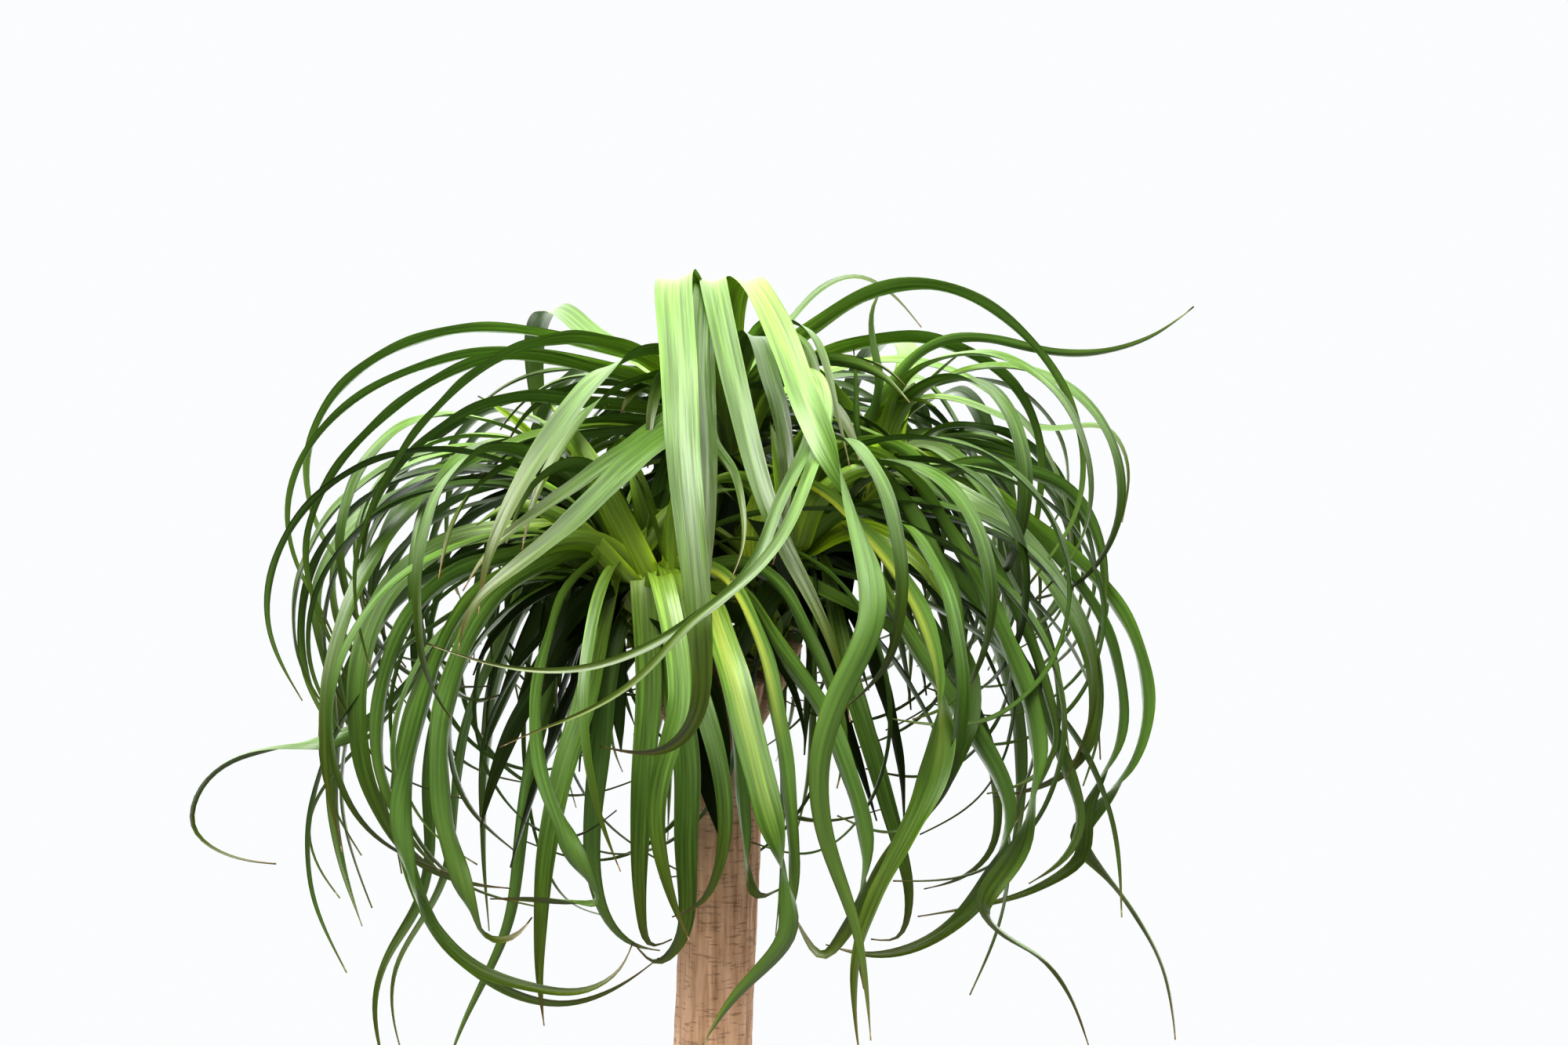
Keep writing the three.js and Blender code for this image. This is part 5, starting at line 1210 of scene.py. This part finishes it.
def trunk_rings():
    """Rings of the trunk from its buried end to its rounded top."""
    top = TRUNK["top"]
    buried_heights, folds_shown = zip(*BURIED)
    rings = []
    for z in [*np.arange(buried_heights[0], top, TRUNK_RING), top]:
        shown = np.interp(z, buried_heights, folds_shown)
        foot = trunk_radius(z) / TRUNK["foot_radius"]
        inset = np.interp(z, [top - below for below, _ in SHOULDER], [inward for _, inward in SHOULDER])
        aside = TRUNK["lean"] * max(0, z - TRUNK["lean_from"])
        ring = []
        for k in range(TRUNK_SIDES):
            turn = 2 * math.pi * k / TRUNK_SIDES
            folds = sum(depth * math.sin(count * turn + z / climb + start) * foot ** fade
                        for count, climb, start, depth, fade in FOLDS)
            r = trunk_radius(z) + shown * folds - inset
            x, y = math.cos(turn), math.sin(turn)
            if z > BARE_FROM:
                r += bark_relief(r * x, r * y, z)
            ring.append((r * x + aside, r * y, z))
        rings.append(ring)
    return rings


def stem_rings(head):
    """A short stem from inside the trunk's top to the foot of a head."""
    start_height = TRUNK["top"] - STEM["sunk"]
    start = np.array([TRUNK["lean"] * (start_height - TRUNK["lean_from"]), 0, start_height])
    foot = head["foot"]
    axis = unit(head["heart"] - foot)
    middle = foot - axis * STEM["belly"] * np.linalg.norm(foot - start)
    line = smooth_line([start, middle, foot], STEM["steps"])
    rings = []
    for i, (place, ahead) in enumerate(zip(line, directions(line))):
        across = unit(np.cross(np.array([0.0, 1.0, 0.0]), ahead))
        up = np.cross(ahead, across)
        r = np.interp(i / STEM["steps"], [0, 1 / 3, 2 / 3, 1], STEM["radii"]) - STEM_SLIMMER
        ring = []
        for k in range(STEM["sides"]):
            turn = 2 * math.pi * k / STEM["sides"]
            out = across * math.cos(turn) + up * math.sin(turn)
            p = place + out * r
            ring.append(p + out * STEM["relief"] * bark_relief(*p))
        rings.append(ring)
    return rings


def solid_object(name, meshes):
    """One smooth object from (points, faces) pairs in millimetres."""
    points, faces = [], []
    for more_points, more_faces in meshes:
        faces += [tuple(n + len(points) for n in face) for face in more_faces]
        points += [tuple(p) for p in np.asarray(more_points) * MM]
    mesh = bpy.data.meshes.new(name)
    mesh.from_pydata(points, [], faces)
    mesh.polygons.foreach_set("use_smooth", np.ones(len(mesh.polygons), bool))
    made = bpy.data.objects.new(name, mesh)
    bpy.context.scene.collection.objects.link(made)
    return made


stems = [tube_mesh(stem_rings(head)) for head in HEADS.values()]
trunk = solid_object("trunk_and_stems", [tube_mesh(trunk_rings()), *stems])
print("trunk", len(trunk.data.polygons), "faces")

# %% [markdown]
# ## Bark finish
#
# The bark in the photograph is a warm pinkish brown with darker streaks that run up it and fine short
# cracks across them. It is dry and matt. Long thin noise gives the streaks, noise flattened the other way
# gives the cracks, and both feed the bump, so the dark lines are also the low ones.

# %% Bark finish
BARK_STREAKS = [(0.3, "#664a33"), (0.44, "#9b795c"), (0.56, "#b4937a"), (0.75, "#cbb195")]
BARK_PATCHES = [(0.35, "#7f6347"), (0.65, "#bfa285")]
STREAK_SIZE = (4.76, 4.76, 71.4)      # these three are in millimetres, along x, y and z
PATCH_SIZE = (23.8, 23.8, 66.7)
CRACK_SIZE = (11.1, 11.1, 1.923)


def dry_pinkish_bark():
    """The bark of the trunk and the stems."""
    material, tree, out = new_finish("dry_pinkish_bark")
    place = add(tree, "ShaderNodeTexCoord").outputs["Object"]
    streak_place, patch_place, crack_place = [
        add(tree, "ShaderNodeMapping", {"Vector": place, "Scale": [per_metre(side) for side in size]})
        for size in (STREAK_SIZE, PATCH_SIZE, CRACK_SIZE)]
    streaks = add(tree, "ShaderNodeTexNoise", {
        "Vector": streak_place.outputs["Vector"], "Scale": 1, "Detail": 6, "Roughness": 0.62})
    patches = add(tree, "ShaderNodeTexNoise", {
        "Vector": patch_place.outputs["Vector"], "Scale": 1, "Detail": 3})
    cracks = add(tree, "ShaderNodeTexNoise", {
        "Vector": crack_place.outputs["Vector"], "Scale": 1, "Detail": 4})
    streaked = add(tree, "ShaderNodeValToRGB", {"Fac": streaks.outputs["Fac"]}, stops=BARK_STREAKS)
    patched = add(tree, "ShaderNodeValToRGB", {"Fac": patches.outputs["Fac"]}, stops=BARK_PATCHES)
    mixed = add(tree, "ShaderNodeMix", {
        "Factor": 0.4, COLOUR_A: streaked.outputs["Color"], COLOUR_B: patched.outputs["Color"]},
        data_type="RGBA")
    crack_dark = add(tree, "ShaderNodeMapRange", {
        "Value": cracks.outputs["Fac"], "From Min": 0.34, "From Max": 0.44, "To Min": 0.66})
    colour = add(tree, "ShaderNodeVectorMath", {
        0: mixed.outputs[MIXED_COLOUR], "Scale": crack_dark.outputs["Result"]}, operation="SCALE")
    height = add(tree, "ShaderNodeMath", {
        0: streaks.outputs["Fac"], 1: crack_dark.outputs["Result"]}, operation="MULTIPLY")
    bump = add(tree, "ShaderNodeBump", {
        "Height": height.outputs["Value"], "Distance": 1.6 * MM, "Strength": 0.8})
    skin = add(tree, "ShaderNodeBsdfPrincipled", {
        "Base Color": colour.outputs["Vector"], "Roughness": 0.82, "IOR": 1.45,
        "Normal": bump.outputs["Normal"]})
    tree.links.new(skin.outputs["BSDF"], out.inputs["Surface"])
    return material


trunk.data.materials.append(dry_pinkish_bark())
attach(trunk, "root")
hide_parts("trunk")
print("finish:", trunk.data.materials[0].name)

# %% [markdown]
# ## Pot
#
# The photograph stops above the pot, so this is the plain clay pot that such a plant is sold in: turned
# walls that widen upward and a heavier rim band to lift it by. Thrown clay is never quite smooth, so its
# walls carry faint rings from the turning.

# %% Pot
POT = dict(height=220, rim_radius=120, rim_drop=46, rim_step=7, foot_radius=84, wall=9, thinner=2, floor=12,
           edge=3, fillet=6)
POT_SIDES = 160
POT_STEP = 2.5
POT_GAP = 0.35
MARKED = (6, 212)     # heights between which the turning shows
TURNING = [(0.18, 1.3, 0), (0.12, 0.37, 1)]   # its waves: how deep, how steep in radians to 1 mm, and start
OUT_OF_ROUND = 0.2
ROUND_TWIST = 80      # the climb over which the long side of the rings turns by a radian


def pot_walls():
    """Radius and height of the shoulder under the rim, and the inside's radius at its top and floor."""
    shoulder = POT["rim_radius"] - POT["rim_step"]
    under_rim = POT["height"] - POT["rim_drop"]
    inner_top = POT["rim_radius"] - POT["wall"] - POT["thinner"]
    widening = (shoulder - POT["foot_radius"]) * POT["floor"] / under_rim
    inner_foot = POT["foot_radius"] + widening - POT["wall"]
    return shoulder, under_rim, inner_top, inner_foot


def pot_inside(z):
    """Radius of the pot's inside at height z."""
    _, _, inner_top, inner_foot = pot_walls()
    low = POT["floor"] + POT["fillet"]
    if z <= low:
        return inner_foot + z - POT["floor"]
    share = (z - low) / (POT["height"] - POT["edge"] - low)
    return inner_foot + POT["fillet"] + (inner_top - inner_foot - POT["fillet"]) * share


def pot_profile():
    """Radius and height round the wall, from the foot up the outside and down the inside."""
    shoulder, under_rim, inner_top, inner_foot = pot_walls()
    edge, fillet, height, rim, floor = (POT[k] for k in ("edge", "fillet", "height", "rim_radius", "floor"))
    corners = [(POT["foot_radius"] - edge, 0), (POT["foot_radius"], edge), (shoulder, under_rim),
               (rim - edge, under_rim + edge), (rim, under_rim + 2 * edge), (rim, height - fillet),
               (rim - edge, height - edge / 3), (rim - fillet, height),
               (inner_top + edge, height - edge / 3), (inner_top, height - edge),
               (inner_foot + fillet, floor + fillet), (inner_foot, floor)]
    profile = []
    for (r0, z0), (r1, z1) in zip(corners, corners[1:]):
        steps = max(1, int(math.hypot(r1 - r0, z1 - z0) / POT_STEP))
        profile += [(r0 + (r1 - r0) * n / steps, z0 + (z1 - z0) * n / steps) for n in range(steps)]
    return profile + [corners[-1]]


def thrown_ring(r, z):
    """One ring of the pot, a little out of true as thrown clay is."""
    low, high = MARKED
    mark = sum(depth * math.sin(z * rate + start) for depth, rate, start in TURNING) if low < z < high else 0
    ring = []
    for k in range(POT_SIDES):
        turn = 2 * math.pi * k / POT_SIDES
        out = r + mark + OUT_OF_ROUND * math.sin(2 * turn + z / ROUND_TWIST)
        ring.append((out * math.cos(turn), out * math.sin(turn), z))
    return ring


pot = solid_object("clay_pot", [tube_mesh([thrown_ring(r, z) for r, z in pot_profile()])])
print("pot", len(pot.data.polygons), "faces")

# %% [markdown]
# ## Clay finish
#
# Fired clay is matt and a little uneven in colour, and water that soaks through it leaves a pale bloom of
# salts, most of it low down. The bloom is a soft noise held to those heights.

# %% Clay finish
CLAY = [(0.3, "#8a5c47"), (0.5, "#9c6e57"), (0.7, "#ac8068")]
SALTS = "#c6bbb0"
SALTS_TOP = 90        # these three are in millimetres
CLOUD_SIZE = 45.45
GRIT_SIZE = 1.111


def fired_red_clay():
    """The clay of the pot, with its bloom of salts."""
    material, tree, out = new_finish("fired_red_clay")
    place = add(tree, "ShaderNodeTexCoord").outputs["Object"]
    cloud = add(tree, "ShaderNodeTexNoise", {
        "Vector": place, "Scale": per_metre(CLOUD_SIZE), "Detail": 5, "Roughness": 0.6})
    grit = add(tree, "ShaderNodeTexNoise", {"Vector": place, "Scale": per_metre(GRIT_SIZE), "Detail": 3})
    clay = add(tree, "ShaderNodeValToRGB", {"Fac": cloud.outputs["Fac"]}, stops=CLAY)
    height = add(tree, "ShaderNodeSeparateXYZ", {"Vector": place})
    low = add(tree, "ShaderNodeMapRange", {
        "Value": height.outputs["Z"], "From Min": SALTS_TOP * MM, "From Max": 0})
    wet = add(tree, "ShaderNodeMapRange", {
        "Value": cloud.outputs["Fac"], "From Min": 0.46, "From Max": 0.66, "To Max": 0.7})
    salts = add(tree, "ShaderNodeMath", {
        0: low.outputs["Result"], 1: wet.outputs["Result"]}, operation="MULTIPLY")
    colour = add(tree, "ShaderNodeMix", {
        "Factor": salts.outputs["Value"], COLOUR_A: clay.outputs["Color"], COLOUR_B: linear(SALTS)},
        data_type="RGBA")
    rough = add(tree, "ShaderNodeMapRange", {"Value": cloud.outputs["Fac"], "To Min": 0.78, "To Max": 0.92})
    bump = add(tree, "ShaderNodeBump", {
        "Height": grit.outputs["Fac"], "Distance": 0.4 * MM, "Strength": 0.5})
    skin = add(tree, "ShaderNodeBsdfPrincipled", {
        "Base Color": colour.outputs[MIXED_COLOUR], "Roughness": rough.outputs["Result"], "IOR": 1.5,
        "Normal": bump.outputs["Normal"]})
    tree.links.new(skin.outputs["BSDF"], out.inputs["Surface"])
    return material


pot.data.materials.append(fired_red_clay())
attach(pot, "root")
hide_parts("pot")
print("finish:", pot.data.materials[0].name)

# %% [markdown]
# ## Soil
#
# Potting mix is a dark crumbly peat with a few pale grains of perlite. Its top is heaped a little toward
# the trunk. The body fills the pot up to a hair's breadth of the wall, its top is broken by noise, and
# crumbs of a few sizes lie on it.

# %% Soil
SOIL = dict(top=196, mound=7, grain=1.2, grain_x=7, grain_y=9, settled=0.8, belly=100, side_top=192,
            inner=40, rings=40, sides=144)
MOUND = (1, 0.8, 1 / 3, 0)            # how much of the mound is left from the trunk out to the wall
LUMPS = [(1.6, 9, 3), (0.9, 3, 8)]    # how high, how wide, and which layer of the noise
CRUMB_SEED = 9
CRUMB = dict(rings=6, sides=8, lift=0.25, dent=0.5, dents=1.7, stretch=(0.7, 1.3), nearest=68, spread=36)
CRUMBS = 420
CRUMB_SIZE = (1.2, 3.8)
GRAINS = 70
GRAIN_SIZE = (0.9, 2.0)
draw_crumb = random_from(CRUMB_SEED)


def soil_height(r, turn):
    """The measured top of the soil at radius r, with finer crumbs over it."""
    top, mound = SOIL["top"], SOIL["mound"]
    outer = pot_inside(top) - POT_GAP
    middle = (outer + trunk_radius(top + mound)) / 2
    z = np.interp(r, [0, middle, outer - mound, outer], [top + mound * left for left in MOUND])
    x, y = r * math.cos(turn), r * math.sin(turn)
    rough = sum(high * noise.noise(Vector((x / wide, y / wide, layer))) for high, wide, layer in LUMPS)
    grain = SOIL["grain"] * math.sin(x / SOIL["grain_x"]) * math.cos(y / SOIL["grain_y"])
    return z + grain + rough - SOIL["settled"]


def soil_rings():
    """Rings up the side of the soil and in over its top to the trunk's bark."""
    turns = [2 * math.pi * k / SOIL["sides"] for k in range(SOIL["sides"])]
    outer = pot_inside(SOIL["top"]) - POT_GAP
    rings = []
    foot = POT["floor"] + POT_GAP
    for z in (foot, foot + POT["fillet"], SOIL["belly"], SOIL["side_top"]):
        r = pot_inside(z) - POT_GAP
        rings.append([(r * math.cos(t), r * math.sin(t), z) for t in turns])
    for r in np.linspace(outer, SOIL["inner"], SOIL["rings"]):
        rings.append([(r * math.cos(t), r * math.sin(t), soil_height(r, t)) for t in turns])
    return rings


def crumb(size):
    """A rough lump lying on the soil."""
    turn = 2 * math.pi * draw_crumb()
    r = CRUMB["nearest"] + CRUMB["spread"] * math.sqrt(draw_crumb())
    lifted = soil_height(r, turn) + size * CRUMB["lift"]
    centre = np.array([r * math.cos(turn), r * math.sin(turn), lifted])
    stretch = between(CRUMB["stretch"], draw_crumb)
    own_place = Vector((100 * draw_crumb(), 0, 0))
    rings = []
    for i in range(1, CRUMB["rings"]):
        tilt = math.pi * i / CRUMB["rings"]
        ring = []
        for k in range(CRUMB["sides"]):
            t = 2 * math.pi * k / CRUMB["sides"]
            out = math.sin(tilt)
            way = np.array([out * math.cos(t) * stretch, out * math.sin(t), -math.cos(tilt)])
            swell = 1 + CRUMB["dent"] * noise.noise(Vector(way * CRUMB["dents"]) + own_place)
            ring.append(centre + way * size * swell)
        rings.append(ring)
    return tube_mesh(rings)


smallest, largest = CRUMB_SIZE
crumbs = [crumb(smallest + (largest - smallest) * draw_crumb() ** 3) for _ in range(CRUMBS)]
soil = solid_object("potting_mix", [tube_mesh(soil_rings()), *crumbs])
chips = solid_object("perlite_grains", [crumb(between(GRAIN_SIZE, draw_crumb)) for _ in range(GRAINS)])
print("soil", len(soil.data.polygons), "faces, perlite", len(chips.data.polygons), "faces")

# %% [markdown]
# ## Soil finishes
#
# Peat is dark, matt and full of fine fibres, so its colour varies at the scale of a millimetre or two.
# Perlite is glass puffed by heat: white, very rough and pitted. Both are one noise that gives the colour
# and the bump.

# %% Soil finishes
PEAT = [(0.3, "#1f1510"), (0.5, "#3b2a1f"), (0.7, "#5b4534")]
PERLITE = [(0.35, "#b9b2a6"), (0.6, "#ebe7df")]
FIBRE_SIZE = 2.38     # these two are in millimetres
PIT_SIZE = 0.6667


def dark_peat():
    """The potting mix."""
    material, tree, out = new_finish("dark_peat")
    place = add(tree, "ShaderNodeTexCoord").outputs["Object"]
    fibres = add(tree, "ShaderNodeTexNoise", {
        "Vector": place, "Scale": per_metre(FIBRE_SIZE), "Detail": 6, "Roughness": 0.7})
    colour = add(tree, "ShaderNodeValToRGB", {"Fac": fibres.outputs["Fac"]}, stops=PEAT)
    bump = add(tree, "ShaderNodeBump", {
        "Height": fibres.outputs["Fac"], "Distance": 2 * MM, "Strength": 0.9})
    skin = add(tree, "ShaderNodeBsdfPrincipled", {
        "Base Color": colour.outputs["Color"], "Roughness": 0.95, "Normal": bump.outputs["Normal"]})
    tree.links.new(skin.outputs["BSDF"], out.inputs["Surface"])
    return material


def puffed_perlite():
    """The pale grains on the potting mix."""
    material, tree, out = new_finish("puffed_perlite")
    place = add(tree, "ShaderNodeTexCoord").outputs["Object"]
    pits = add(tree, "ShaderNodeTexNoise", {"Vector": place, "Scale": per_metre(PIT_SIZE), "Detail": 3})
    colour = add(tree, "ShaderNodeValToRGB", {"Fac": pits.outputs["Fac"]}, stops=PERLITE)
    bump = add(tree, "ShaderNodeBump", {
        "Height": pits.outputs["Fac"], "Distance": 0.4 * MM, "Strength": 0.8})
    skin = add(tree, "ShaderNodeBsdfPrincipled", {
        "Base Color": colour.outputs["Color"], "Roughness": 0.9, "Normal": bump.outputs["Normal"]})
    tree.links.new(skin.outputs["BSDF"], out.inputs["Surface"])
    return material


soil.data.materials.append(dark_peat())
chips.data.materials.append(puffed_perlite())
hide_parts("soil")
for piece in (soil, chips):
    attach(piece, "root")
print("finishes:", soil.data.materials[0].name, chips.data.materials[0].name)
